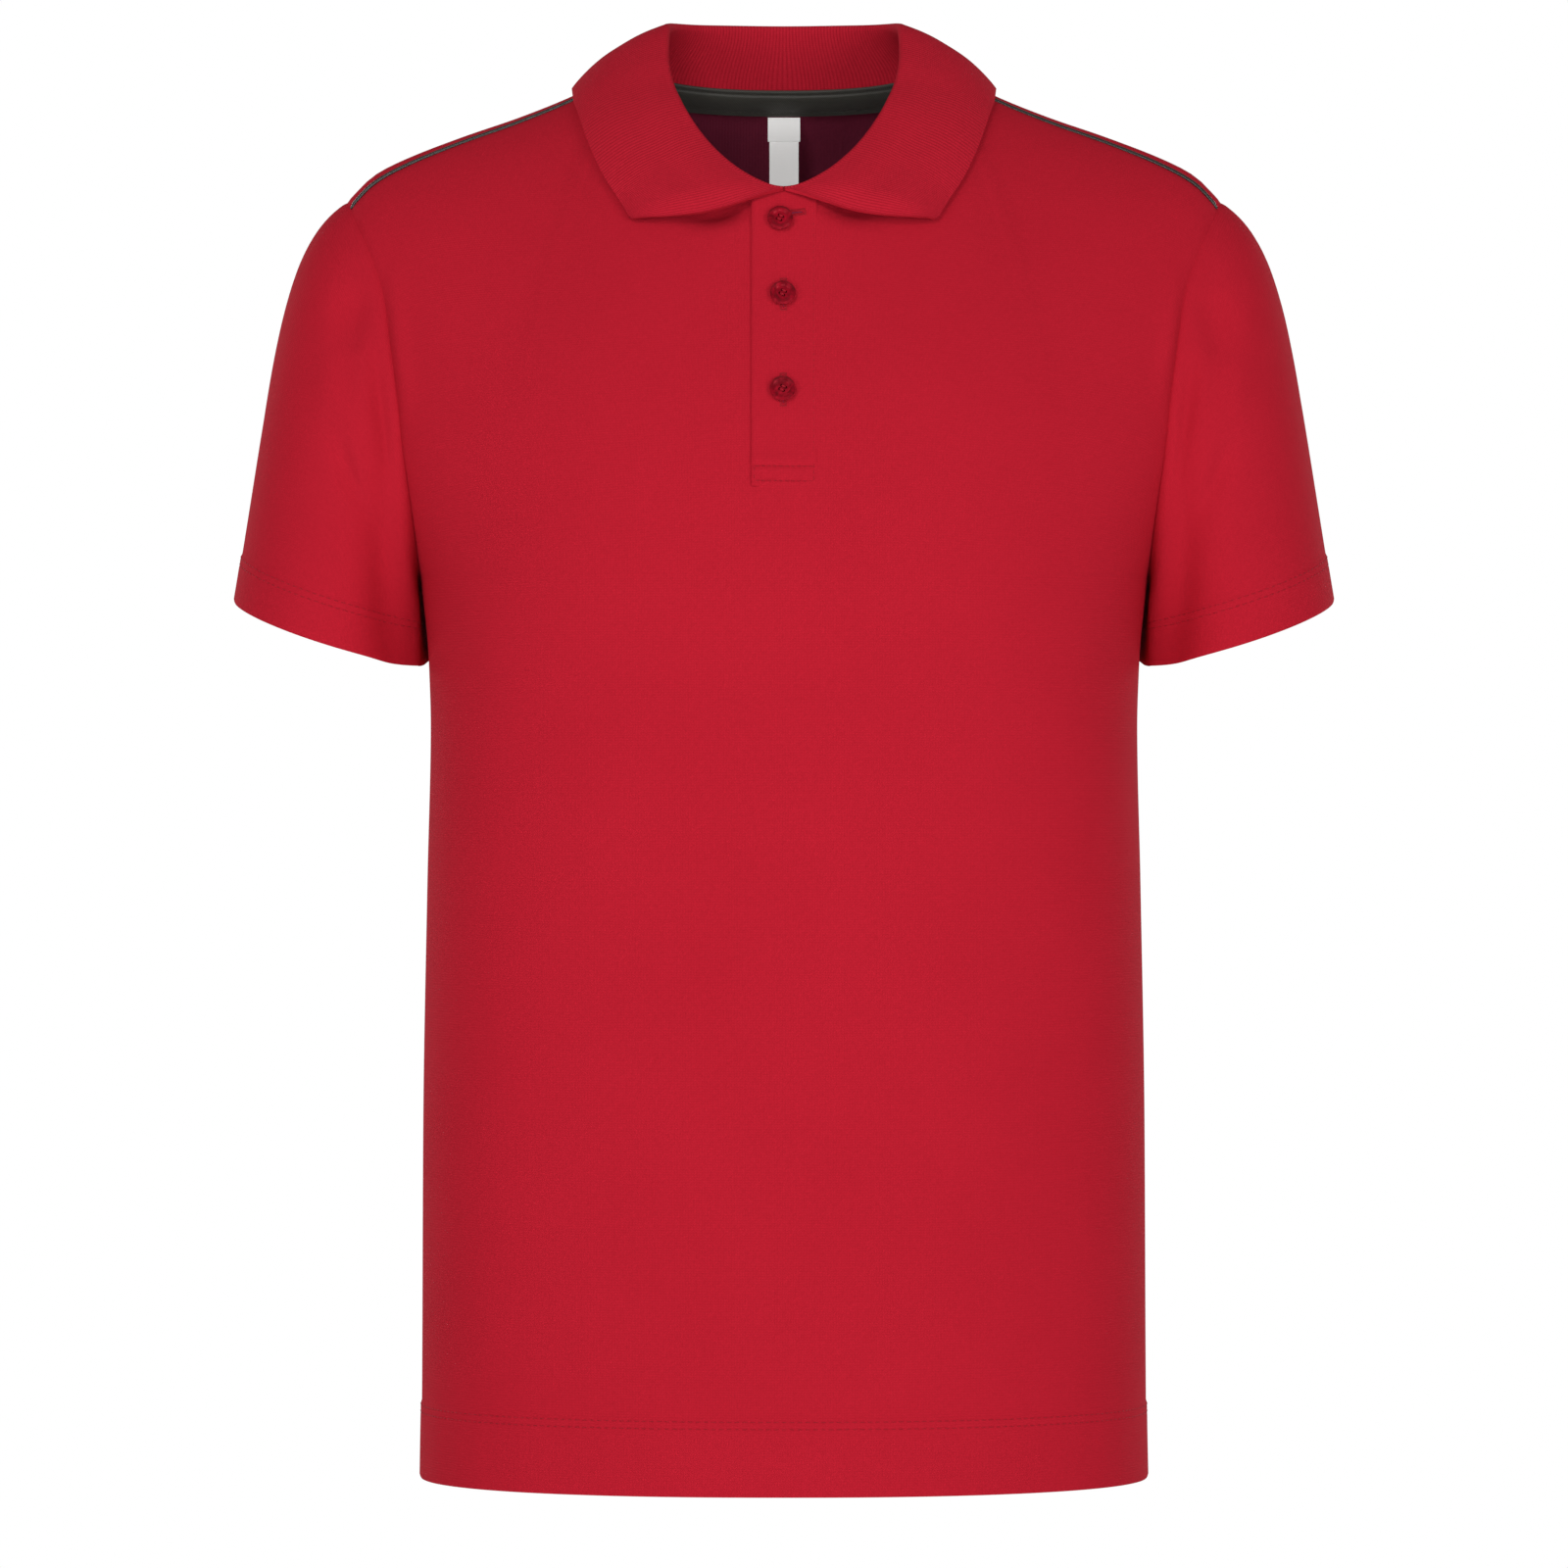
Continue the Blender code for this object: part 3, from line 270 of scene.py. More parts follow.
    def across(self, side: Side, half_width: float, edge_x: float, share: float) -> float:
        """Distance out at a share of the way around the cross-section, up to the edge."""
        first = self.slit_half_width if side is Side.FRONT else 0.0
        start = math.asin((first / half_width) ** (self.section_power / 2))
        end = math.asin(min(1.0, edge_x / half_width) ** (self.section_power / 2))
        return half_width * math.sin(start + (end - start) * share) ** (2 / self.section_power)

    def top_edge(self, side: Side, share: float) -> tuple[float, float]:
        """Where a column ends above.

        Args:
            side: the panel.
            share: 0 at the middle, 1 at the armhole.

        Returns:
            Its distance out and the square root of its drop from the top line, below zero past that line.
        """
        if share < self.neck_share:
            first = self.slit_half_width if side is Side.FRONT else 0.0
            start = math.asin((first / self.neck_half_width) ** (NECK_POWER[side] / 2))
            turn = share / self.neck_share
            turn = (turn + math.sin(math.pi / 2 * turn)) / 2
            x, z = self.neckline(side, start + (math.pi / 2 - start) * turn)
            return x, math.sqrt(max(0.0, self.ridge_z(side, x) - z) / self.fall_height(side, x))
        part = (share - self.neck_share) / (1 - self.neck_share)
        x = self.neck_half_width + (self.shoulder_x - self.neck_half_width) * part
        ahead = self.seam_ahead(x)
        if side is Side.BACK:
            return x, -math.sqrt(self.crest_drop(Side.FRONT, x, ahead) / self.fall) if ahead > 0 else 0.0
        return x, math.sqrt(self.crest_drop(Side.FRONT, x, ahead + self.piping_slot) / self.fall)

    def panel_point(self, side: Side, column: float, climbed: float) -> Vector:
        """A point of the +X half above the underarm.

        Args:
            side: the panel.
            column: 0 at the middle, 1 at the armhole.
            climbed: 0 at the underarm, 1 at the top edge.

        Returns:
            The point of the outer surface.
        """
        face, edge_x, edge_z = self.armhole(side, climbed)
        if column >= 1:
            return self.point(face, edge_x, edge_z)
        risen = climbed**1.45
        below = self.across(side, self.half_width(side, edge_z), edge_x, column)
        top_x, top_climb = self.top_edge(side, column)
        x = below + (top_x - below) * ease(risen)
        # The columns beside the armhole close up on its edge
        closing = max(0.0, (column - self.edge_share) / (1 - self.edge_share)) ** 2
        x -= (self.shoulder_x - edge_x) * ease(risen) * closing
        start = math.sqrt((self.ridge_z(side, x) - self.underarm_z) / self.fall_height(side, x))
        climb = start + (top_climb - start) * risen
        face = Side(-side.value) if climb < 0 else side
        z = self.ridge_z(face, x) - self.fall_height(face, x) * climb * climb
        return self.point(face, x, z)

    def reach(self, y: float, z: float) -> float:
        """Distance out of the body's side at a place beside it."""
        side = Side.FRONT if y < self.middle_y(z) else Side.BACK
        part = (y - self.middle_y(z)) / DEPTH[side](z)
        return self.half_width(side, min(z, self.underarm_z)) * round_off(part, self.section_power)


BODY = BodyForm()


@dataclass(frozen=True)
class Crease:
    """A soft trough or ridge from one place to another. Sizes in mm; a height below zero presses in."""

    start: tuple[float, float]
    end: tuple[float, float]
    half_width: float
    height: float

    def lift(self, place: Vector) -> float:
        """Height of the crease at a place, fading out past its ends."""
        a = Vector(self.start)
        b = Vector(self.end)
        share = max(0.0, min(1.0, (place - a).dot(b - a) / (b - a).length_squared))
        taper = 0.35 + 0.65 * math.sin(math.pi * share)
        return self.height * taper * bump((place - a.lerp(b, share)).length, self.half_width)


def hex_to_linear(colour: str) -> tuple[float, float, float, float]:
    """Turns an sRGB hex colour to a linear one with full alpha."""
    parts = [int(colour[i : i + 2], 16) / 255 for i in (1, 3, 5)]
    linear = [c / 12.92 if c <= 0.04045 else ((c + 0.055) / 1.055) ** 2.4 for c in parts]
    return (linear[0], linear[1], linear[2], 1.0)


def add_node(
    tree: bpy.types.NodeTree, kind: str, settings: dict | None = None, links: dict | None = None
) -> bpy.types.Node:
    """Adds one node with its settings and links.

    Args:
        tree: the node tree.
        kind: the node's type.
        settings: values for the node's own properties.
        links: input name or number, to a value or to another node's output.

    Returns:
        The new node.
    """
    node = tree.nodes.new(kind)
    for name, value in (settings or {}).items():
        setattr(node, name, value)
    for name, value in (links or {}).items():
        if isinstance(value, bpy.types.NodeSocket):
            tree.links.new(value, node.inputs[name])
        else:
            node.inputs[name].default_value = value
    return node


def add_maths(tree: bpy.types.NodeTree, operation: str, *values: object) -> bpy.types.NodeSocket:
    """Adds a Math node and returns its output."""
    links = dict(enumerate(values))
    return add_node(tree, "ShaderNodeMath", {"operation": operation}, links).outputs[0]


def add_bump(
    tree: bpy.types.NodeTree, height: object, depth_mm: float, strength: float
) -> bpy.types.NodeSocket:
    """Raises the surface by a height.

    Args:
        tree: the node tree.
        height: the output that holds the height, from 0 to 1.
        depth_mm: what a height of 1 stands for.
        strength: how strongly it shows.

    Returns:
        The output with the bent normal.
    """
    links = {"Height": height, "Distance": depth_mm * MM, "Strength": strength}
    return add_node(tree, "ShaderNodeBump", links=links).outputs["Normal"]


def add_noise(
    tree: bpy.types.NodeTree, scale: float, detail: float, distortion: float = 0.0
) -> bpy.types.NodeSocket:
    """Adds noise that is fixed to the piece.

    Args:
        tree: the node tree.
        scale: how many clouds fit into a metre.
        detail: how many finer layers lie on top.
        distortion: how far the clouds are swirled.

    Returns:
        The output with the noise, from 0 to 1.
    """
    place = add_node(tree, "ShaderNodeTexCoord").outputs["Object"]
    links = {"Vector": place, "Scale": scale, "Detail": detail, "Distortion": distortion}
    return add_node(tree, "ShaderNodeTexNoise", links=links).outputs["Fac"]


def cloth_coordinates(tree: bpy.types.NodeTree) -> tuple[bpy.types.NodeSocket, bpy.types.NodeSocket]:
    """The piece's own place on the cloth, in metres across and along the wales."""
    uv = add_node(tree, "ShaderNodeUVMap", {"uv_map": UV_LAYER})
    split = add_node(tree, "ShaderNodeSeparateXYZ", links={0: uv.outputs["UV"]})
    return split.outputs["X"], split.outputs["Y"]


def new_material(name: str) -> tuple[bpy.types.Material, bpy.types.NodeTree, bpy.types.Node]:
    """A material with its node tree and its Principled shader."""
    material = bpy.data.materials.new(name)
    material.use_nodes = True
    tree = material.node_tree
    return material, tree, tree.nodes["Principled BSDF"]


def mix_colours(tree: bpy.types.NodeTree, share: object, low: object, high: object) -> bpy.types.NodeSocket:
    """Mixes two colours by a share from 0 to 1 and returns the output."""
    node = add_node(
        tree, "ShaderNodeMix", {"data_type": "RGBA"}, {"Factor": share, "A": low, "B": high}
    )
    return node.outputs["Result"]


class KnitPattern(Enum):
    """How the yarn shows on the right side of the cloth."""

    JERSEY = "jersey"
    RIB = "rib"


@dataclass(frozen=True)
class KnitFinish:
    """Combed cotton knit, dyed in the piece: matt, a little fuzzy, darker between its stitches."""

    name: str
    pattern: KnitPattern
    yarn: str
    shade: str
    wale_mm: float
    course_mm: float
    relief_mm: float
    roughness: float = 0.9
    sheen: float = 0.015
    specular: float = 0.06
    fuzz_tint: str = "#e0404c"

    def height(self, tree: bpy.types.NodeTree) -> bpy.types.NodeSocket:
        """Height of the stitches from 0 to 1, on the piece's own cloth coordinates."""
        u, v = cloth_coordinates(tree)
        wales = add_maths(tree, "DIVIDE", u, self.wale_mm * MM)
        courses = add_maths(tree, "DIVIDE", v, self.course_mm * MM)
        across = add_maths(tree, "SUBTRACT", add_maths(tree, "FRACT", wales), 0.5)
        beside = add_maths(tree, "ABSOLUTE", across)
        if self.pattern is KnitPattern.JERSEY:
            slant = add_maths(tree, "MULTIPLY_ADD", beside, 1.1, courses)
            leg = add_maths(tree, "PINGPONG", add_maths(tree, "MULTIPLY", beside, 4.0), 1.0)
            yarn = add_maths(tree, "SINE", add_maths(tree, "MULTIPLY", slant, 2 * math.pi))
            yarn = add_maths(tree, "MULTIPLY_ADD", yarn, 0.3, 0.7)
            return add_maths(tree, "MULTIPLY", add_maths(tree, "POWER", leg, 0.5), yarn)
        ridge = add_maths(tree, "SUBTRACT", 1.0, add_maths(tree, "MULTIPLY", beside, 2.0))
        ridge = add_maths(tree, "SMOOTH_MIN", add_maths(tree, "MULTIPLY", ridge, 1.6), 1.0, 0.4)
        loops = add_maths(tree, "SINE", add_maths(tree, "MULTIPLY", courses, 2 * math.pi))
        return add_maths(tree, "MULTIPLY", ridge, add_maths(tree, "MULTIPLY_ADD", loops, 0.16, 0.84))

    def material(self) -> bpy.types.Material:
        """Builds the material."""
        material, tree, shader = new_material(self.name)
        height = self.height(tree)
        # Uneven dye take-up over a few centimetres, and single fibres that catch the light
        dye = add_noise(tree, 22.0, 3.0)
        fuzz = add_noise(tree, 900.0, 2.0)
        patch = add_maths(tree, "MULTIPLY_ADD", dye, 0.24, -0.12)
        fibre = add_maths(tree, "MULTIPLY_ADD", fuzz, 0.4, -0.2)
        share = add_maths(tree, "MULTIPLY_ADD", height, 0.55, 0.35)
        share = add_maths(tree, "ADD", share, add_maths(tree, "ADD", patch, fibre))
        share = add_node(tree, "ShaderNodeClamp", links={"Value": share}).outputs[0]
        colour = mix_colours(tree, share, hex_to_linear(self.shade), hex_to_linear(self.yarn))
        relief = add_maths(tree, "MULTIPLY_ADD", fuzz, 0.2, height)
        tree.links.new(colour, shader.inputs["Base Color"])
        tree.links.new(add_bump(tree, relief, self.relief_mm, 0.8), shader.inputs["Normal"])
        shader.inputs["Roughness"].default_value = self.roughness
        shader.inputs["Specular IOR Level"].default_value = self.specular
        shader.inputs["Sheen Weight"].default_value = self.sheen
        shader.inputs["Sheen Roughness"].default_value = 0.5
        shader.inputs["Sheen Tint"].default_value = hex_to_linear(self.fuzz_tint)
        return material


@dataclass(frozen=True)
class WovenFinish:
    """Narrow woven goods, twill or satin: fine ribs of yarn that catch a soft light."""

    name: str
    high: str
    low: str
    rib_mm: float
    slant: float
    relief_mm: float
    roughness: float
    sheen: float
    glow: float = 0.0
    weft_mm: float = 0.35

    def material(self) -> bpy.types.Material:
        """Builds the material."""
        material, tree, shader = new_material(self.name)
        u, v = cloth_coordinates(tree)
        run = add_maths(tree, "MULTIPLY_ADD", u, self.slant, v)
        turns = add_maths(tree, "DIVIDE", run, self.rib_mm * MM)
        wave = add_maths(tree, "SINE", add_maths(tree, "MULTIPLY", turns, 2 * math.pi))
        weft = add_maths(tree, "SINE", add_maths(tree, "DIVIDE", u, self.weft_mm * MM / (2 * math.pi)))
        height = add_maths(tree, "MULTIPLY_ADD", wave, 0.35, 0.5)
        height = add_maths(tree, "MULTIPLY_ADD", weft, 0.15, height)
        cloud = add_maths(tree, "MULTIPLY_ADD", add_noise(tree, 120.0, 3.0), 0.4, -0.2)
        share = add_maths(tree, "ADD", height, cloud)
        share = add_node(tree, "ShaderNodeClamp", links={"Value": share}).outputs[0]
        colour = mix_colours(tree, share, hex_to_linear(self.low), hex_to_linear(self.high))
        tree.links.new(colour, shader.inputs["Base Color"])
        tree.links.new(add_bump(tree, height, self.relief_mm, 0.7), shader.inputs["Normal"])
        shader.inputs["Roughness"].default_value = self.roughness
        shader.inputs["Sheen Weight"].default_value = self.sheen
        # The colour is also emitted: a painted glow that keeps the label bright in shade
        if self.glow:
            tree.links.new(colour, shader.inputs["Emission Color"])
            shader.inputs["Emission Strength"].default_value = self.glow
        return material


@dataclass(frozen=True)
class ResinFinish:
    """Polyester resin, turned and tumbled: glossy, with faint clouds and the finest scratches."""

    name: str = "polyester_resin_red"
    colour: str = "#920a1e"
    cloud: str = "#620612"
    shine: str = "#ff5a68"

    def material(self) -> bpy.types.Material:
        """Builds the material."""
        material, tree, shader = new_material(self.name)
        swirl = {"Value": add_noise(tree, 260.0, 4.0, distortion=1.5), "From Min": 0.35, "From Max": 0.65}
        share = add_node(tree, "ShaderNodeMapRange", links=swirl).outputs[0]
        colour = mix_colours(tree, share, hex_to_linear(self.cloud), hex_to_linear(self.colour))
        scratches = add_noise(tree, 1800.0, 2.0)
        tree.links.new(colour, shader.inputs["Base Color"])
        tree.links.new(add_bump(tree, scratches, 0.03, 0.5), shader.inputs["Normal"])
        shader.inputs["Roughness"].default_value = 0.24
        shader.inputs["Specular Tint"].default_value = hex_to_linear(self.shine)
        shader.inputs["IOR"].default_value = 1.5
        return material


@dataclass(frozen=True)
class ThreadFinish:
    """Spun polyester sewing thread, dyed to match: a tight twist with a low shine."""

    name: str = "sewing_thread_red"
    colour: str = "#ae1a2b"
    shade: str = "#8c121f"

    def material(self) -> bpy.types.Material:
        """Builds the material."""
        material, tree, shader = new_material(self.name)
        place = add_node(tree, "ShaderNodeTexCoord").outputs["Object"]
        twist = add_node(
            tree,
            "ShaderNodeTexWave",
            {"bands_direction": "DIAGONAL"},
            {"Vector": place, "Scale": 900.0, "Distortion": 1.0},
        )
        strand = twist.outputs["Fac"]
        colour = mix_colours(tree, strand, hex_to_linear(self.shade), hex_to_linear(self.colour))
        tree.links.new(colour, shader.inputs["Base Color"])
        tree.links.new(add_bump(tree, strand, 0.05, 0.6), shader.inputs["Normal"])
        shader.inputs["Roughness"].default_value = 0.7
        shader.inputs["Specular IOR Level"].default_value = 0.15
        return material


# Fine single jersey of the body, sleeves and placket. Its real stitches are about 0.8 mm wide; they are
# drawn 1.1 mm wide, so that they show in the picture.
JERSEY = KnitFinish(
    "cotton_jersey_red",
    KnitPattern.JERSEY,
    yarn="#bd1e30",
    shade="#9e1222",
    wale_mm=1.1,
    course_mm=0.9,
    relief_mm=0.08,
)
# The purl side of the same jersey, its colour painted darker and purplish as the shade inside the shirt
PURL_PAINTED_SHADE = KnitFinish(
    "cotton_jersey_purl_side_painted_shade",
    KnitPattern.JERSEY,
    yarn="#8c2e48",
    shade="#6a2238",
    wale_mm=1.1,
    course_mm=0.6,
    relief_mm=0.12,
)
# The collar's wearer side, its colour painted darker as the shade on the inside of the stand
RIB_INSIDE_PAINTED_SHADE = KnitFinish(
    "flat_rib_wearer_side_painted_shade",
    KnitPattern.RIB,
    yarn="#821722",
    shade="#600c15",
    wale_mm=1.2,
    course_mm=0.8,
    relief_mm=0.25,
)
# Flat-knit 1x1 rib of the collar, with a rib every 1.2 mm
RIB = KnitFinish(
    "flat_rib_red",
    KnitPattern.RIB,
    yarn="#c02033",
    shade="#94101e",
    wale_mm=1.2,
    course_mm=0.8,
    relief_mm=0.22,
)
# Twill tape with a matt olive-grey face
TAPE = WovenFinish(
    "twill_tape_dark_grey",
    high="#45443c",
    low="#25241f",
    rib_mm=0.8,
    slant=1.0,
    relief_mm=0.06,
    roughness=0.55,
    sheen=0.1,
)
# Rolled satin piping of the same dye, whose upper side catches the light
PIPING = WovenFinish(
    "satin_piping_dark",
    high="#35302b",
    low="#0f0a08",
    rib_mm=0.5,
    slant=0.7,
    relief_mm=0.04,
    roughness=0.26,
    sheen=0.0,
)
# White woven satin, given a painted glow that brightens it in the shade of the neck
SATIN = WovenFinish(
    "woven_satin_white",
    high="#f6f6f4",
    low="#e6e6e4",
    rib_mm=0.5,
    slant=0.0,
    relief_mm=0.03,
    roughness=0.38,
    sheen=0.0,
    glow=0.31,
)
RESIN = ResinFinish()
THREAD = ThreadFinish()


class Materials:
    """One Blender material for each finish, made once."""

    made: dict[str, bpy.types.Material] = {}

    @classmethod
    def of(cls, finish: KnitFinish | WovenFinish | ResinFinish | ThreadFinish) -> bpy.types.Material:
        """The material of a finish."""
        if finish.name not in cls.made:
            cls.made[finish.name] = finish.material()
        return cls.made[finish.name]


def grid_normals(points: Grid, closed: bool) -> Grid:
    """Unit vectors square to a grid of points.

    Args:
        points: rows of points.
        closed: True where the last column lies on the first.

    Returns:
        One vector for each point.
    """
    rows, columns = len(points), len(points[0])
    normals = []
    for i in range(rows):
        line = []
        for j in range(columns):
            left, right = max(0, j - 1), min(columns - 1, j + 1)
            if closed and j in (0, columns - 1):
                left, right = columns - 2, 1
            rise = points[min(rows - 1, i + 1)][j] - points[max(0, i - 1)][j]
            line.append((points[i][right] - points[i][left]).cross(rise).normalized())
        normals.append(line)
    return normals


def arc_lengths(points: Sequence[Vector]) -> list[float]:
    """Distance run along a line of points, from 0 at its first."""
    run = [0.0]
    for a, b in zip(points, points[1:]):
        run.append(run[-1] + (b - a).length)
    return run


def cloth_mesh(
    points: Grid,
    across: Callable[[int, int], float],
    along: Callable[[int, int], float],
    closed: bool = False,
    holes: Callable[[int, int], bool] | None = None,
    full: Callable[[int, int], float] | None = None,
) -> bmesh.types.BMesh:
    """Lays a bmesh grid on a grid of points in mm.

    Args:
        points: rows of points.
        across: cloth coordinate across the wales at a row and column, in mm.
        along: cloth coordinate along the wales at a row and column, in mm.
        closed: True where the last column lies on the first.
        holes: True for each cell, by its row and column, that is cut out.
        full: share of the piece's thickness at a row and column.

    Returns:
        The mesh, in metres.
    """
    rows, columns = len(points), len(points[0])
    mesh = bmesh.new()
    bmesh.ops.create_grid(mesh, x_segments=columns - 1, y_segments=rows - 1, size=1.0, calc_uvs=True)
    layer = mesh.loops.layers.uv.verify()
    weights = mesh.verts.layers.deform.verify() if full else None
    place = {}
    for corner in mesh.verts:
        i = round((corner.co.y + 1) / 2 * (rows - 1))
        j = round((corner.co.x + 1) / 2 * (columns - 1))
        place[corner] = (i, j)
    cut = []
    for face in mesh.faces:
        spots = [place[loop.vert] for loop in face.loops]
        for loop, (i, j) in zip(face.loops, spots):
            loop[layer].uv = (across(i, j) * MM, along(i, j) * MM)
        if holes and holes(min(i for i, _ in spots), min(j for _, j in spots)):
            cut.append(face)
    for corner, (i, j) in place.items():
        corner.co = points[i][j] * MM
        if full:
            corner[weights][0] = full(i, j)
    if cut:
        bmesh.ops.delete(mesh, geom=cut, context="FACES")
    if closed:
        bmesh.ops.remove_doubles(mesh, verts=mesh.verts, dist=1e-7)
    for edge in mesh.edges:
        edge.smooth = not edge.is_boundary
    mesh.normal_update()
    return mesh


def make_piece(
    name: str,
    mesh: bmesh.types.BMesh,
    finish: KnitFinish | WovenFinish | ResinFinish | ThreadFinish,
    replaces: Sequence[str] = (),
    thickness: float = 0.0,
    offset: float = -1.0,
    inside: KnitFinish | None = None,
) -> bpy.types.Object:
    """Turns a bmesh into a piece of the shirt that rides on its one body.

    Args:
        name: the piece's name.
        mesh: the mesh, in metres and in place.
        finish: what it is made of.
        replaces: the solids it stands for.
        thickness: cloth thickness in mm, or 0 where the mesh is whole already.
        offset: where Solidify puts the thickness, -1 for inwards.
        inside: finish of the wearer's side, a darker copy of the cloth that paints the shade inside.

    Returns:
        The new object.
    """
    data = bpy.data.meshes.new(name)
    weighted = mesh.verts.layers.deform.active is not None
    for face in mesh.faces:
        face.smooth = True
    mesh.to_mesh(data)
    mesh.free()
    if data.uv_layers:
        data.uv_layers[0].name = UV_LAYER
    data.materials.append(Materials.of(finish))
    piece = bpy.data.objects.new(name, data)
    bpy.context.scene.collection.objects.link(piece)
    if thickness:
        solid = piece.modifiers.new("cloth_thickness", "SOLIDIFY")
        solid.thickness = thickness * MM
        solid.offset = offset
        solid.use_rim = True
        if weighted:
            solid.vertex_group = piece.vertex_groups.new(name="cloth_thickness").name
        # The wearer's side gets its own finish, whose darker colour is painted shade
        if inside:
            data.materials.append(Materials.of(inside))
            solid.material_offset = 1
    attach(piece, "root")
    if replaces:
        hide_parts(*replaces)
    log.info("%s: %d faces", name, len(data.polygons))
    return piece


def face_outwards(mesh: bmesh.types.BMesh, hollow: Vector) -> None:
    """Turns an open sheet's faces away from a point in mm inside its hollow."""
    total = 0.0
    for face in mesh.faces:
        total += face.normal.dot(face.calc_center_median() - hollow * MM) * face.calc_area()
    if total < 0:
        bmesh.ops.reverse_faces(mesh, faces=mesh.faces)


@dataclass(frozen=True)
class Stitching:
    """A row of lock stitches laid along a line, half sunk into the cloth. Sizes in mm."""

    pitch: float = 2.8
    length: float = 2.0
    radius: float = 0.22
    rise: float = 0.04

    def sew(self, mesh: bmesh.types.BMesh, path: Sequence[Vector], normals: Sequence[Vector]) -> None:
        """Adds the stitches along a path.

        Args:
            mesh: the mesh that gets them.
            path: points of the line on the cloth.
            normals: unit vectors out of the cloth at those points.
        """
        run = arc_lengths(path)
        count = max(1, round(run[-1] / self.pitch))
        for k in range(count):
            middle = run[-1] * (k + 0.5) / count
            i = min(len(path) - 2, max(0, bisect_right(run, middle) - 1))
            part = (middle - run[i]) / max(1e-9, run[i + 1] - run[i])
            at = path[i].lerp(path[i + 1], part) + normals[i] * self.rise
            self.add(mesh, at, path[i + 1] - path[i], normals[i])

    def add(self, mesh: bmesh.types.BMesh, at: Vector, along: Vector, out: Vector) -> None:
        """Adds one stitch at a place, along a direction."""
        made = bmesh.ops.create_uvsphere(mesh, u_segments=6, v_segments=4, radius=1.0)["verts"]
        turn = along.normalized()
        side = out.cross(turn).normalized()
        up = turn.cross(side)
        frame_axes = Matrix((side, up, turn)).transposed().to_4x4()
        size = Matrix.Diagonal((self.radius, self.radius * 0.8, self.length / 2, 1))
        laid = Matrix.Scale(MM, 4) @ Matrix.Translation(at) @ frame_axes @ size
        bmesh.ops.transform(mesh, matrix=laid, verts=made)


@dataclass(frozen=True)
class CutEdge:
    """How the cloth rolls in where it is sewn to its neighbour. Sizes in mm."""

    depth: float = 0.32
    width: float = 1.3

    def dip(self, distance: float) -> float:
        """How far the surface lies below its form at a distance from the seam."""
        return self.depth * bump(distance, self.width)


@dataclass(frozen=True)
class Hem:
    """A turned-up hem with two rows of stitches, by the height above its lower edge. Sizes in mm."""

    height: float
    stitch_rows: tuple[float, float]
    step: float = 0.4
    spread: float = 1.5
    groove: float = 0.1
    groove_width: float = 0.7
    edge_round: float = 0.5

    def stand(self, above: float) -> float:
        """How far the double cloth stands out from the single one."""
        return self.step * (1 - ease((above - self.height) / self.spread))

    def dip(self, above: float) -> float:
        """How far the stitches and the rounded edge draw the surface in."""
        grooves = sum(bump(above - row, self.groove_width) for row in self.stitch_rows)
        return self.groove * grooves + self.edge_round * bump(above, self.edge_round)


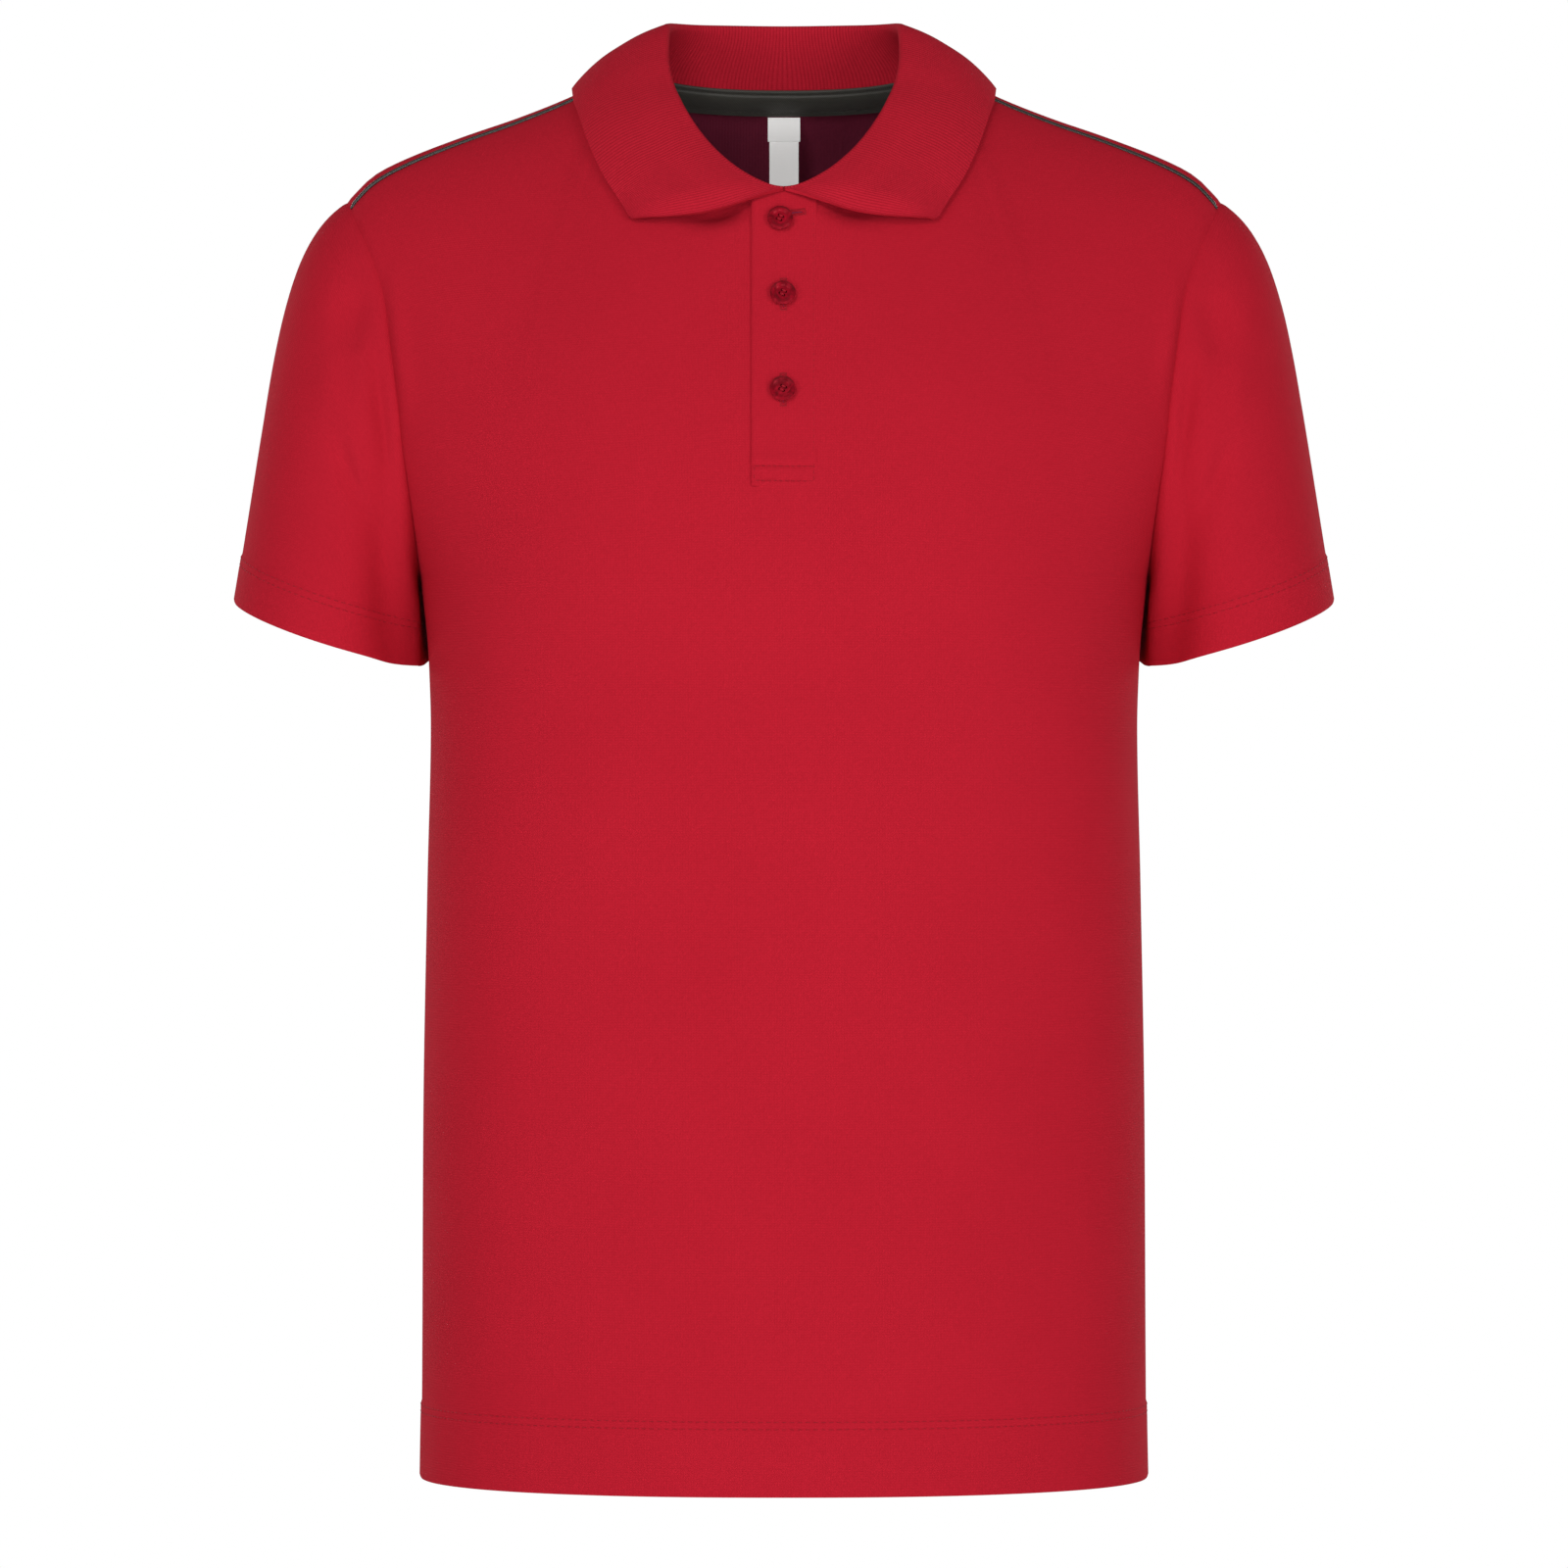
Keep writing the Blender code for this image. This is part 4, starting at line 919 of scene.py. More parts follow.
@dataclass
class BodyPanel:
    """The front or the back: hemmed below, cut to the armholes, the shoulder seams and the neckline."""

    side: Side
    name: str
    creases: tuple[Crease, ...]
    flat: tuple[float, float]
    flat_area: float
    wall: float = 1.2
    hem_wall: float = 2.0
    hem: Hem = Hem(26.9, (24.2, 26.8))
    ripple: float = 0.14
    ripple_middle: float = 14.0
    ripple_width: float = 12.0
    columns: int = 64
    low_rows: int = 92
    upper_rows: int = 70
    strip_cells: int = 8
    uncut_left: int = 1
    uncut_right: int = 2
    uncut_below: float = 6.0
    seam: CutEdge = CutEdge()

    def column_shares(self) -> list[float]:
        """Places of the columns of one half, closer together at the armhole."""
        return evenly(0.0, 0.985, self.columns) + [0.9905, 0.9945, 0.9975, 1.0]

    def low_heights(self) -> list[float]:
        """Heights of the rows from the hem up to the underarm, close together around the hem's stitches."""
        edge = [0, 0.4, 1.2, 3, 6, 10, 14, 18, 21, 22.6, 23.6]
        sewn = [24.2, 24.8, 25.5, 26.2, 26.8, 27.3, 27.7, 28.1, 28.6, 29.6, 31.5]
        above = evenly(BODY.hem_z + 34.5, BODY.underarm_z, self.low_rows)
        return [BODY.hem_z + value for value in edge + sewn] + above

    def half(self) -> Grid:
        """Outer points of the +X half, hem first, middle column first."""
        shares = self.column_shares()
        grid = []
        for z in self.low_heights():
            wide = BODY.half_width(self.side, z)
            line = [BODY.point(self.side, BODY.across(self.side, wide, wide, share), z) for share in shares]
            line[-1].y = BODY.middle_y(z)
            grid.append(line)
        for climbed in evenly(0.0, 0.988, self.upper_rows)[1:] + [0.9925, 0.9965, 1.0]:
            grid.append([BODY.panel_point(self.side, share, climbed) for share in shares])
        return grid

    def points(self) -> tuple[Grid, int]:
        """The whole grid from the -X side to the +X side, and how many cells its middle strip has."""
        strip = self.strip_cells if self.side is Side.FRONT else 0
        grid = []
        half = self.half()
        if strip:
            end = nearest([line[0].z for line in half], BODY.slit_bottom_z)
            half[end][0] = BODY.point(self.side, BODY.slit_half_width, BODY.slit_bottom_z)
        for line in half:
            left = [Vector((-p.x, p.y, p.z)) for p in reversed(line)]
            if strip:
                between = evenly(-BODY.slit_half_width, BODY.slit_half_width, strip)[1:-1]
                grid.append(left + [BODY.point(self.side, x, line[0].z) for x in between] + line)
            else:
                grid.append(left[:-1] + line)
        return grid, strip

    def surface_shift(self, point: Vector, from_sides: float, from_top: float) -> float:
        """How far a point moves out of the form: creases, hem fold, stitch grooves and rolled edges."""
        place = Vector((point.x, point.z))
        total = sum(crease.lift(place) for crease in self.creases)
        above_hem = point.z - BODY.hem_z
        total += self.hem.stand(above_hem) - self.hem.dip(above_hem)
        # The hem's fold ripples a little between its stitches
        wave = math.sin(point.x * 0.61) * math.sin(point.x * 0.23 + 1.3)
        total += self.ripple * wave * bump(above_hem - self.ripple_middle, self.ripple_width)
        return total - self.seam.dip(from_sides) - self.seam.dip(from_top)

    def build(self) -> bpy.types.Object:
        """Builds the panel with its hem stitches."""
        points, strip = self.points()
        columns = len(points[0])
        middle = columns // 2
        normals = grid_normals(points, closed=False)
        facing = 1 if normals[10][middle].y * self.side.value > 0 else -1
        formed = []
        for i, line in enumerate(points):
            formed_line = []
            for j, point in enumerate(line):
                from_sides = min((point - line[0]).length, (point - line[-1]).length)
                from_top = (point - points[-1][j]).length
                in_slit = strip and abs(point.x) < BODY.slit_half_width + 0.1 and point.z > BODY.slit_bottom_z
                shift = self.surface_shift(point, from_sides, from_top if not in_slit else 99.0)
                formed_line.append(point + normals[i][j] * (facing * shift))
            formed.append(formed_line)
        runs = [arc_lengths(line) for line in formed]
        climbs = [arc_lengths([line[j] for line in formed]) for j in range(columns)]
        first, last = (columns - 1 - strip) // 2, (columns - 1 + strip) // 2
        hem_top = BODY.hem_z + self.hem.height

        def cut_out(i: int, j: int) -> bool:
            """True for the cells of the slit behind the placket, whose sewn edges lie on uncut cloth."""
            in_slit = first + self.uncut_left <= j < last - self.uncut_right
            return in_slit and formed[i][first].z > BODY.slit_bottom_z + self.uncut_below

        mesh = cloth_mesh(
            formed,
            across=lambda i, j: runs[i][j] - runs[i][middle],
            along=lambda i, j: climbs[j][i],
            holes=cut_out if strip else None,
            full=lambda i, j: 1.0 if points[i][middle].z < hem_top else self.wall / self.hem_wall,
        )
        face_outwards(mesh, Vector((0, 0, -250)))
        solid = self.name.removesuffix("_panel")
        # Its wearer's side is painted darker, as the shade inside the shirt
        panel = make_piece(self.name, mesh, JERSEY, [solid], self.hem_wall, inside=PURL_PAINTED_SHADE)
        self.sew_hem(formed, normals, facing)
        return panel

    def sew_hem(self, formed: Grid, normals: Grid, facing: int) -> None:
        """Lays the two rows of hem stitches."""
        mesh = bmesh.new()
        heights = [line[0].z - BODY.hem_z for line in formed]
        for height in self.hem.stitch_rows:
            i = nearest(heights, height)
            Stitching().sew(mesh, formed[i][1:-1], [normal * facing for normal in normals[i][1:-1]])
        make_piece(f"{self.name.removesuffix('_panel')}_hem_stitches", mesh, THREAD)


@dataclass
class Sleeve:
    """A set-in sleeve, open at the armhole and at its hemmed cuff, close beside the body. Sizes in mm."""

    name: str
    mirrored: bool
    creases: tuple[Crease, ...]
    cuff_outer: Vector
    cuff_inner: Vector
    cuff_half_depth: float = 46.0
    cuff_front_drop: float = 6.0
    hem_height: float = 18.0
    clearance: float = 1.2
    tuck: float = 0.4
    tuck_side: float = 0.9
    crown_share: float = 0.03
    hug_start: float = 0.80
    hug_spread: float = 0.12
    hug_height: float = 6.0
    start_spread: float = 0.42
    wall: float = 1.2
    hem_wall: float = 2.0
    caught_share: float = 0.05
    caught_width: float = 7.0
    crease_start: float = 12.0
    girth: float = 300.0
    length: float = 110.0
    hem: Hem = Hem(16.9, (14.2, 16.8))
    fine_steps: int = 120
    seam: CutEdge = CutEdge()

    def ring(self) -> list[tuple[Side, float]]:
        """Places around the armhole, from the front underarm over the shoulder to the back underarm."""
        shares = evenly(0.0, 1.0, 46)
        return [(Side.FRONT, s) for s in shares] + [(Side.BACK, s) for s in reversed(shares)]

    def start(self, around: float) -> Vector:
        """Direction in which the sleeve leaves the armhole."""
        turn = math.pi * (1 + around)
        direction = Vector((-0.3, 0, -0.95)).lerp(Vector((-0.86, 0, -0.5)), (1 - math.cos(turn)) / 2)
        direction.y -= self.start_spread * math.sin(turn)
        return direction.normalized()

    def line(self, around: float, on_armhole: Vector) -> tuple[list[Vector], list[float], float]:
        """One line of the sleeve on the -X side, from the armhole to the cuff.

        Args:
            around: -1 at the front underarm, 0 at the shoulder, 1 at the back underarm.
            on_armhole: the point of the armhole.

        Returns:
            Its points, the distance run at each, and the line's whole length.
        """
        turn = math.pi * (1 + around)
        top = (1 - math.cos(turn)) / 2
        leave = self.start(around)
        start = on_armhole - leave * self.tuck + Vector((self.tuck_side * (1 - top) ** 0.5, 0, 0))
        end = self.cuff_inner.lerp(self.cuff_outer, top)
        end.y -= self.cuff_half_depth * math.sin(turn)
        end.z -= self.cuff_front_drop * math.sin(turn)
        length = (end - start).length
        handle_a = start + leave * length * (0.30 - 0.10 * top)
        handle_b = end - Vector((-0.17 * top, 0, -1)).normalized() * length * (0.34 + 0.26 * top)
        fine = [bezier(start, handle_a, handle_b, end, s) for s in evenly(0.0, 1.0, self.fine_steps)]
        run = arc_lengths(fine)
        hem = run[-1] - self.hem_height
        sewn = [-0.6, -0.1, 0.3, 0.7, 1.2, 1.8, 2.5, 3.2, 3.8, 4.4, 5.4]
        edge = [7, 9, 11, 13, 15, 16.8, 17.6, self.hem_height]
        wanted = [0.0, 0.5, 1.0, 1.7, 2.6] + evenly(4.0, hem - 3.5, 52) + [hem - 1.6]
        wanted += [hem + value for value in sewn + edge]
        points = []
        for distance in wanted:
            k = max(0, min(self.fine_steps - 1, bisect_right(run, distance) - 1))
            part = (distance - run[k]) / (run[k + 1] - run[k])
            points.append(fine[k].lerp(fine[k + 1], part))
        return points, wanted, run[-1]

    def points(self) -> tuple[Grid, list[float], list[list[float]], list[float]]:
        """Grid from the armhole to the cuff, with each column's place around, run and length."""
        arounds, lines, runs, lengths = [], [], [], []
        for side, share in self.ring():
            around = side.value * (1 - (1 - self.crown_share) * share)
            face, x, z = BODY.armhole(side, share)
            if share == 0:
                face = Side.FRONT
            points, run, length = self.line(around, BODY.point(face, -x, z))
            for point, distance in zip(points[1:], run[1:]):
                along = distance / length
                near = BODY.reach(point.y, point.z) + self.clearance * ease(along * 10)
                if point.z < BODY.underarm_z + self.hug_height:
                    hug = ease((around - self.hug_start) / self.hug_spread)
                    hug *= ease((BODY.underarm_z + self.hug_height / 2 - point.z) / self.hug_height)
                    point.x = min(point.x - (point.x + near) * hug, -near)
            arounds.append(around)
            lines.append(points)
            runs.append(run)
            lengths.append(length)
        return [list(row) for row in zip(*lines)], arounds, runs, lengths

    def thickness_share(self, run: float, length: float) -> float:
        """Share of the hem's thickness: full at the hem, thin where the sleeve is caught in the seam."""
        if length - run < self.hem_height - 1:
            return 1.0
        grown = self.caught_share + (1 - self.caught_share) * ease(run / self.caught_width)
        return self.wall / self.hem_wall * grown

    def build(self) -> bpy.types.Object:
        """Builds the sleeve with its hem stitches."""
        points, arounds, runs, lengths = self.points()
        rows = len(points)
        normals = grid_normals(points, closed=True)
        top = len(arounds) // 2
        sign = 1 if normals[20][top].x < 0 else -1
        formed = []
        for i, ring in enumerate(points):
            line = []
            for j, point in enumerate(ring):
                along = runs[j][i] / lengths[j]
                above_hem = lengths[j] - runs[j][i]
                place = Vector((arounds[j] * self.girth / 2, along * self.length))
                shift = sum(crease.lift(place) for crease in self.creases)
                shift *= ease(runs[j][i] / self.crease_start)
                # Beside the body the hem lies flat, so that it stays clear of it
                away = ease((0.82 - abs(arounds[j])) / 0.14)
                shift += self.hem.stand(above_hem) * away - self.hem.dip(above_hem)
                shift -= self.seam.dip(runs[j][i])
                line.append(point + normals[i][j] * (sign * shift))
            formed.append(line)
        if self.mirrored:
            formed = [[Vector((-p.x, p.y, p.z)) for p in line] for line in formed]
            normals = [[Vector((-n.x, n.y, n.z)) for n in line] for line in normals]
        around_runs = arc_lengths(formed[rows // 2])
        mesh = cloth_mesh(
            formed,
            across=lambda i, j: around_runs[j] - around_runs[top],
            along=lambda i, j: -runs[j][i],
            closed=True,
            full=lambda i, j: self.thickness_share(runs[j][i], lengths[j]),
        )
        face_outwards(mesh, Vector((160 if self.mirrored else -160, 12, -150)))
        solid = self.name.removesuffix("_cloth")
        # Its wearer's side is painted darker, as the shade inside the shirt
        sleeve = make_piece(self.name, mesh, JERSEY, [solid], self.hem_wall, inside=PURL_PAINTED_SHADE)
        stitches = bmesh.new()
        heights = [lengths[0] - run for run in runs[0]]
        for height in self.hem.stitch_rows:
            i = nearest(heights, height)
            Stitching().sew(stitches, formed[i], [normal * sign for normal in normals[i]])
        make_piece(f"{solid}_hem_stitches", stitches, THREAD)
        return sleeve


COLLAR_ROWS = (
    # neck_angle, fold_out, fold_y, fold_z, edge_out, edge_drop, bulge
    (0, 0.0, 37.0, 17.6, 0.0, 27.0, 2.0),
    (19, 17.0, 35.0, 17.6, 32.0, 24.0, 2.2),
    (43, 31.0, 29.5, 17.3, 58.0, 19.0, 2.4),
    (68, 39.5, 18.5, 16.6, 72.5, 7.0, 2.8),
    (90, 42.3, 5.0, 14.8, 76.8, 0.0, 3.2),
    (105, 42.5, -9.0, 4.4, 76.2, 4.5, 3.2),
    (118, 40.6, -20.5, -7.4, 74.0, 12.0, 3.2),
    (131, 37.2, -30.0, -15.8, 70.4, 24.5, 3.2),
    (144, 31.0, -38.8, -26.4, 64.8, 40.4, 3.4),
    (155, 24.6, -45.6, -34.4, 59.8, 50.6, 3.6),
    (166, 15.7, -52.4, -42.2, 56.8, 56.6, 4.0),
    (174, 6.6, -56.8, -47.4, 55.2, 60.2, 4.2),
    (179.5, 0.6, -58.8, -49.8, 54.4, 61.4, 4.2),
)
# The row behind the middle repeats the first one on the other side, so that the back runs on smoothly
COLLAR_BEHIND = (-19, -17.0, 35.0, 17.6, -32.0, 24.0, 2.2)
COLLAR_STEPS = len(COLLAR_ROWS) - 1
COLLAR_SHARES = [(k / COLLAR_STEPS, *row) for k, row in enumerate((COLLAR_BEHIND, *COLLAR_ROWS), start=-1)]
SHOULDER_ROW = 4


@dataclass
class Collar:
    """One strip of rib cloth: a stand, a fold and a leaf with two points. Sizes in mm."""

    columns: int = 84
    stand_rows: int = 14
    fold_rows: int = 8
    leaf_rows: int = 34
    wall: float = 1.3
    fold_radius: float = 1.3
    seat: float = 0.5
    neck_point_inset: float = 1.3
    leaf_lift: float = 2.2
    leaf_clearance: float = 2.0
    front_lift: float = 1.2
    front_sag: float = 4.6

    def __post_init__(self) -> None:
        """Makes a curve of each column of the table."""
        self.curves = [SmoothCurve(COLLAR_SHARES, column + 1) for column in range(7)]
        shoulder = SHOULDER_ROW / COLLAR_STEPS
        sides = [(row[0], math.copysign(math.sqrt(row[6]), shoulder - row[0])) for row in COLLAR_SHARES]
        self.edge_climb = SmoothCurve(sides)

    def fold(self, share: float) -> Vector:
        """Top of the fold."""
        return Vector([self.curves[k](share) for k in (1, 2, 3)])

    def base(self, share: float) -> Vector:
        """Foot of the stand on the neck seam."""
        degrees = self.curves[0](share)
        side = Side.BACK if degrees < 90 else Side.FRONT
        x, z = BODY.neckline(side, math.radians(degrees if side is Side.BACK else 180 - degrees))
        z = min(z, BODY.ridge_z(side, x))
        out = BODY.normal(side, x, z)
        turn = math.radians(degrees)
        inward = Vector((-math.sin(turn), -math.cos(turn), 0))
        up = (inward - out * inward.dot(out)).normalized()
        if up.z < 0.2:
            up = (up + Vector((0, 0, 0.6))).normalized()
        inset = inward * self.neck_point_inset * math.sin(turn) ** 6
        return BODY.point(side, x, z) + (up + out) * self.seat + inset

    def leaf_edge(self, share: float) -> Vector:
        """Outer edge of the leaf, just above the body."""
        climb = self.edge_climb(share)
        side = Side.BACK if climb > 0 else Side.FRONT
        x = self.curves[4](share)
        top = BODY.ridge_z(side, x) if x > BODY.neck_half_width or side is Side.BACK else 0.0
        z = top - climb * climb
        return BODY.point(side, x, z) + BODY.normal(side, x, z) * self.leaf_lift

    def clear_of_body(self, point: Vector) -> Vector:
        """Moves a leaf point out until it stays clear of the panels below it."""
        side = Side.FRONT if point.y < BODY.middle_y(point.z) else Side.BACK
        away = abs(point.y - BODY.middle_y(point.z))
        top = BODY.ridge_z(side, point.x)
        if point.z > top - 8:
            on_body = top - BODY.crest_drop(side, point.x, away)
            out = BODY.normal(side, point.x, on_body)
            distance = (point.z - on_body) * out.z
        else:
            out = BODY.normal(side, point.x, point.z)
            distance = (away - BODY.depth(side, point.x, point.z)) * abs(out.y)
        return point + out * max(0.0, self.leaf_clearance - distance)

    def section(self, share: float) -> list[Vector]:
        """Middle line of the cloth at a share of the way from the back to the front."""
        base, fold, edge = self.base(share), self.fold(share), self.leaf_edge(share)
        ahead, behind = self.fold(min(1.0, share + 0.01)), self.fold(max(0.0, share - 0.01))
        along = (ahead - behind).normalized()
        up = fold - base
        up = (up - along * up.dot(along)).normalized()
        chord = edge - fold
        out = (chord - along * chord.dot(along)).normalized()
        over = (out - up * out.dot(up)).normalized()
        turn = math.acos(max(-1.0, min(1.0, out.dot(up))))
        radius = min(self.fold_radius, (fold - base).length * 0.38)
        centre = fold - up * (radius + 0.7)
        inner = centre - over * radius
        handle = (inner - base).length * 0.35
        knees = (base, base + Vector((0, 0, handle)), inner - up * handle, inner)
        points = [bezier(*knees, k / self.stand_rows) for k in range(self.stand_rows)]
        for angle in evenly(0.0, turn, self.fold_rows):
            points.append(centre - over * radius * math.cos(angle) + up * radius * math.sin(angle))
        start = points[-1]
        chord = edge - start
        face = along.cross(out).normalized()
        if face.dot(over + up) < 0:
            face.negate()
        lift = face * self.curves[6](share) / 0.75
        for s in evenly(0.0, 1.0, self.leaf_rows)[1:]:
            # A shallow trough runs along the leaf near its middle, and its long edge curls in a little
            press = face * (-0.9 * bump(s - 0.42, 0.16) - 0.35 * bump(s - 1.0, 0.03))
            # Its front edge stands off the chest, most of all near the placket
            press += face * (self.front_lift * ease((share - 0.84) / 0.16) * bump(s - 0.4, 0.26))
            press.z -= self.front_sag * ease((share - 0.86) / 0.14) * math.sin(math.pi * s) ** 1.2
            point = bezier(start, start + chord / 3 + lift, start + chord * 2 / 3 + lift, edge, s)
            points.append(self.clear_of_body(point + press * ease(share * 4 - 1)))
        return points

    def build(self) -> bpy.types.Object:
        """Builds the collar."""
        half = [self.section(s**0.95) for s in evenly(0.0, 0.99, self.columns) + [0.995, 1.0]]
        sections = [[Vector((-p.x, p.y, p.z)) for p in line] for line in reversed(half)] + half[1:]
        points = [list(row) for row in zip(*sections)]
        runs = arc_lengths(points[self.stand_rows + self.fold_rows // 2])
        climbs = [arc_lengths([line[j] for line in points]) for j in range(len(points[0]))]
        mesh = cloth_mesh(points, across=lambda i, j: runs[j], along=lambda i, j: climbs[j][i])
        # The wearer's side of the rib is painted darker, as the shade inside the stand
        collar = make_piece(
            "collar_rib", mesh, RIB, ["collar"], self.wall, offset=0.0, inside=RIB_INSIDE_PAINTED_SHADE
        )
        return collar


@dataclass
class Placket:
    """Two bands that lap over the slit, their box stitch and the buttonholes. Sizes in mm."""

    half_width: float = 11.6
    top_z: float = -51.6
    top_rise: float = 1.9
    bottom_z: float = -157.4
    corner: float = 3.0
    upper_lift: float = 1.3
    right_lift: float = 0.03
    wall: float = 1.4
    box_z: float = -151.0

    def lift(self, x: float) -> float:
        """Height of the upper band's face over the front at a distance to the side."""
        return self.upper_lift + (self.right_lift - self.upper_lift) * (x / self.half_width + 1) / 2

    def point(self, x: float, z: float, lift: float) -> Vector:
        """Point at a height over the front."""
        return BODY.point(Side.FRONT, x, z) + BODY.normal(Side.FRONT, x, z) * lift

    def band(
        self, name: str, lift: Callable[[float], float], corner: float, replaces: str
    ) -> bpy.types.Object:
        """Builds one band.

        Args:
            name: the piece's name.
            lift: height over the front by the distance to the side.
            corner: radius of its upper left corner.
            replaces: the solid it stands for.

        Returns:
            The new object.
        """
        shares = [-1.0, -0.97, -0.93, -0.87, -0.79, *evenly(-0.7, 0.8, 18)]
        shares += [0.87, 0.93, 0.97, 1.0, 1.025, 1.05]
        heights = [0.0, 0.004, 0.009, *evenly(0.02, 0.90, 70), *evenly(0.905, 0.995, 22)]
        heights += [1.0, 1.003, 1.007]
        points = []
        for part in heights:
            line = []
            for share in shares:
                x = self.half_width * share
                inside = max(0.0, corner - (self.half_width + x))
                top = self.top_z - (corner - math.sqrt(max(0.0, corner**2 - inside**2)))
                top += self.top_rise * ease((x + 10) / 9)
                z = top + (self.bottom_z - top) * part
                rolled = 0.5 * bump(share + 1, 0.05) + 0.4 * bump(z - self.box_z, 0.8)
                # The sewn edges dive into the seam, so that no step shows there
                rolled += 10.0 * max(0.0, share - 1) + 80.0 * max(0.0, part - 1)
                rolled -= 0.22 * bump(z - self.box_z - 2.6, 2.0) + 0.12 * bump(share + 0.84, 0.08)
                # Below the box stitch the band lies pressed flat on the front
                below_box = ease((self.box_z - z) / (self.box_z - self.bottom_z))
                pressed = 1 - 0.96 * below_box * ease((share + 1) / 0.5)
                height = lift(x)
                line.append(self.point(x, z, (height * pressed if height > 0 else height) - rolled))
            points.append(line)
        runs = arc_lengths(points[len(points) // 2])
        climbs = arc_lengths([line[len(shares) // 2] for line in points])
        mesh = cloth_mesh(points, across=lambda i, j: runs[j], along=lambda i, j: -climbs[i])
        face_outwards(mesh, Vector((0, 0, -120)))
        band = make_piece(name, mesh, JERSEY, [replaces], self.wall)
        return band

    def sew(self) -> None:
        """Sews the box across the bottom and the row beside the right-hand edge."""
        mesh = bmesh.new()
        fine = Stitching(pitch=2.2, length=1.7, radius=0.17, rise=0.02)
        left, right = -self.half_width + 1.0, self.half_width - 1.0
        lines = [
            [(x, self.box_z) for x in evenly(left, right, 12)],
            [(x, self.bottom_z + 1.1) for x in evenly(left, right, 12)],
            [(right, z) for z in evenly(self.top_z - 6, self.bottom_z + 1.1, 60)],
            [(left, z) for z in evenly(self.box_z, self.bottom_z + 1.1, 4)],
        ]
        for line in lines:
            path = [self.point(x, z, self.lift(x) - 0.1) for x, z in line]
            normals = [BODY.normal(Side.FRONT, x, z) for x, z in line]
            fine.sew(mesh, path, normals)
        make_piece("placket_stitches", mesh, THREAD)

    def buttonhole(self, name: str, start: tuple[float, float], end: tuple[float, float]) -> None:
        """Works one buttonhole in close stitches.

        Args:
            name: the piece's name.
            start: distance to the side and height of its one end.
            end: the same of its other end.
        """
        mesh = bmesh.new()
        a, b = Vector(start), Vector(end)
        along = (b - a).normalized()
        aside = Vector((-along.y, along.x))
        count = round((b - a).length / 0.5)
        tack = Stitching(length=1.1, radius=0.27, rise=0.1)
        for k in range(count + 1):
            for turn in (-1, 1):
                at = a.lerp(b, k / count) + aside * (turn * 0.85)
                x, z = at
                out = BODY.normal(Side.FRONT, x, z)
                leaning = Vector((aside.x, 0, aside.y)) + Vector((along.x, 0, along.y)) * 0.15 * turn
                tack.add(mesh, self.point(x, z, self.lift(x)), leaning - out * leaning.dot(out), out)
        bar = Stitching(length=3.0, radius=0.34, rise=0.14)
        for end_point in (a - along * 0.4, b + along * 0.4):
            x, z = end_point
            out = BODY.normal(Side.FRONT, x, z)
            across = Vector((aside.x, 0, aside.y))
            bar.add(mesh, self.point(x, z, self.lift(x)), across - out * across.dot(out), out)
        make_piece(name, mesh, THREAD)
        # A strip of the darker purl-side cloth lies along the cut, painted shade in the gap of the buttonhole
        slit = bmesh.new()
        x, z = a.lerp(b, 0.5)
        out = BODY.normal(Side.FRONT, x, z)
        lengthwise = Vector((along.x, 0, along.y))
        gap = Stitching(length=(b - a).length, radius=0.3, rise=0.0)
        gap.add(slit, self.point(x, z, self.lift(x) + 0.02), lengthwise - out * lengthwise.dot(out), out)
        make_piece(f"{name}_slit", slit, PURL_PAINTED_SHADE)

    def build(self) -> None:
        """Builds both bands and their sewing."""
        self.band("placket_upper_band", self.lift, self.corner, "placket_upper")
        under = self.upper_lift - self.wall - SEAM_GAP
        self.band(
            "placket_under_band",
            lambda x: under + (-self.wall - under) * (x / self.half_width + 1) / 2,
            0.0,
            "placket_under",
        )
        self.sew()
        self.buttonhole("buttonhole_top", (-2.6, -59.6), (7.2, -58.2))
        self.buttonhole("buttonhole_middle", (-0.2, -94.2), (-0.2, -83.4))
        self.buttonhole("buttonhole_bottom", (-0.3, -129.0), (-0.3, -118.0))


@dataclass
class Button:
    """A four-hole button: the solid keeps its form and gets its resin and its thread. Sizes in mm."""

    name: str
    side: float
    height: float
    hole_offset: float = 1.05
    thickness: float = 2.0
    dish: float = 0.6
    turn: float = 15.0
    seat_lift: float = 1.45

    def build(self) -> bpy.types.Object:
        """Dresses the solid and sews it on."""
        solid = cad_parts[self.name]
        solid.data.materials.clear()
        solid.data.materials.append(Materials.of(RESIN))
        out = BODY.normal(Side.FRONT, self.side, self.height)
        seat = BODY.point(Side.FRONT, self.side, self.height) + out * self.seat_lift
        turned = out.to_track_quat("Z", "Y").to_matrix()
        mesh = bmesh.new()
        strand = Stitching(length=1.7, radius=0.2, rise=0.0)
        holes = []
        for k in range(4):
            angle = math.radians(self.turn + 90 * k)
            holes.append(Vector((math.cos(angle), math.sin(angle), 0)) * self.hole_offset)
        face = self.thickness - self.dish
        for a, b in ((0, 1), (3, 2)):
            for beside in (-0.16, 0.16):
                aside = (holes[b] - holes[a]).normalized().cross(Vector((0, 0, 1))) * beside
                middle = (holes[a] + holes[b]) / 2 + aside + Vector((0, 0, face + 0.12))
                strand.add(mesh, seat + turned @ middle, turned @ (holes[b] - holes[a]), out)
        post = Stitching(length=face + 0.9, radius=0.22)
        for hole in holes:
            middle = hole + Vector((0, 0, face * 0.5 - 0.2))
            post.add(mesh, seat + turned @ middle, out, turned @ Vector((1, 0, 0)))
        return make_piece(f"{self.name}_thread", mesh, THREAD)


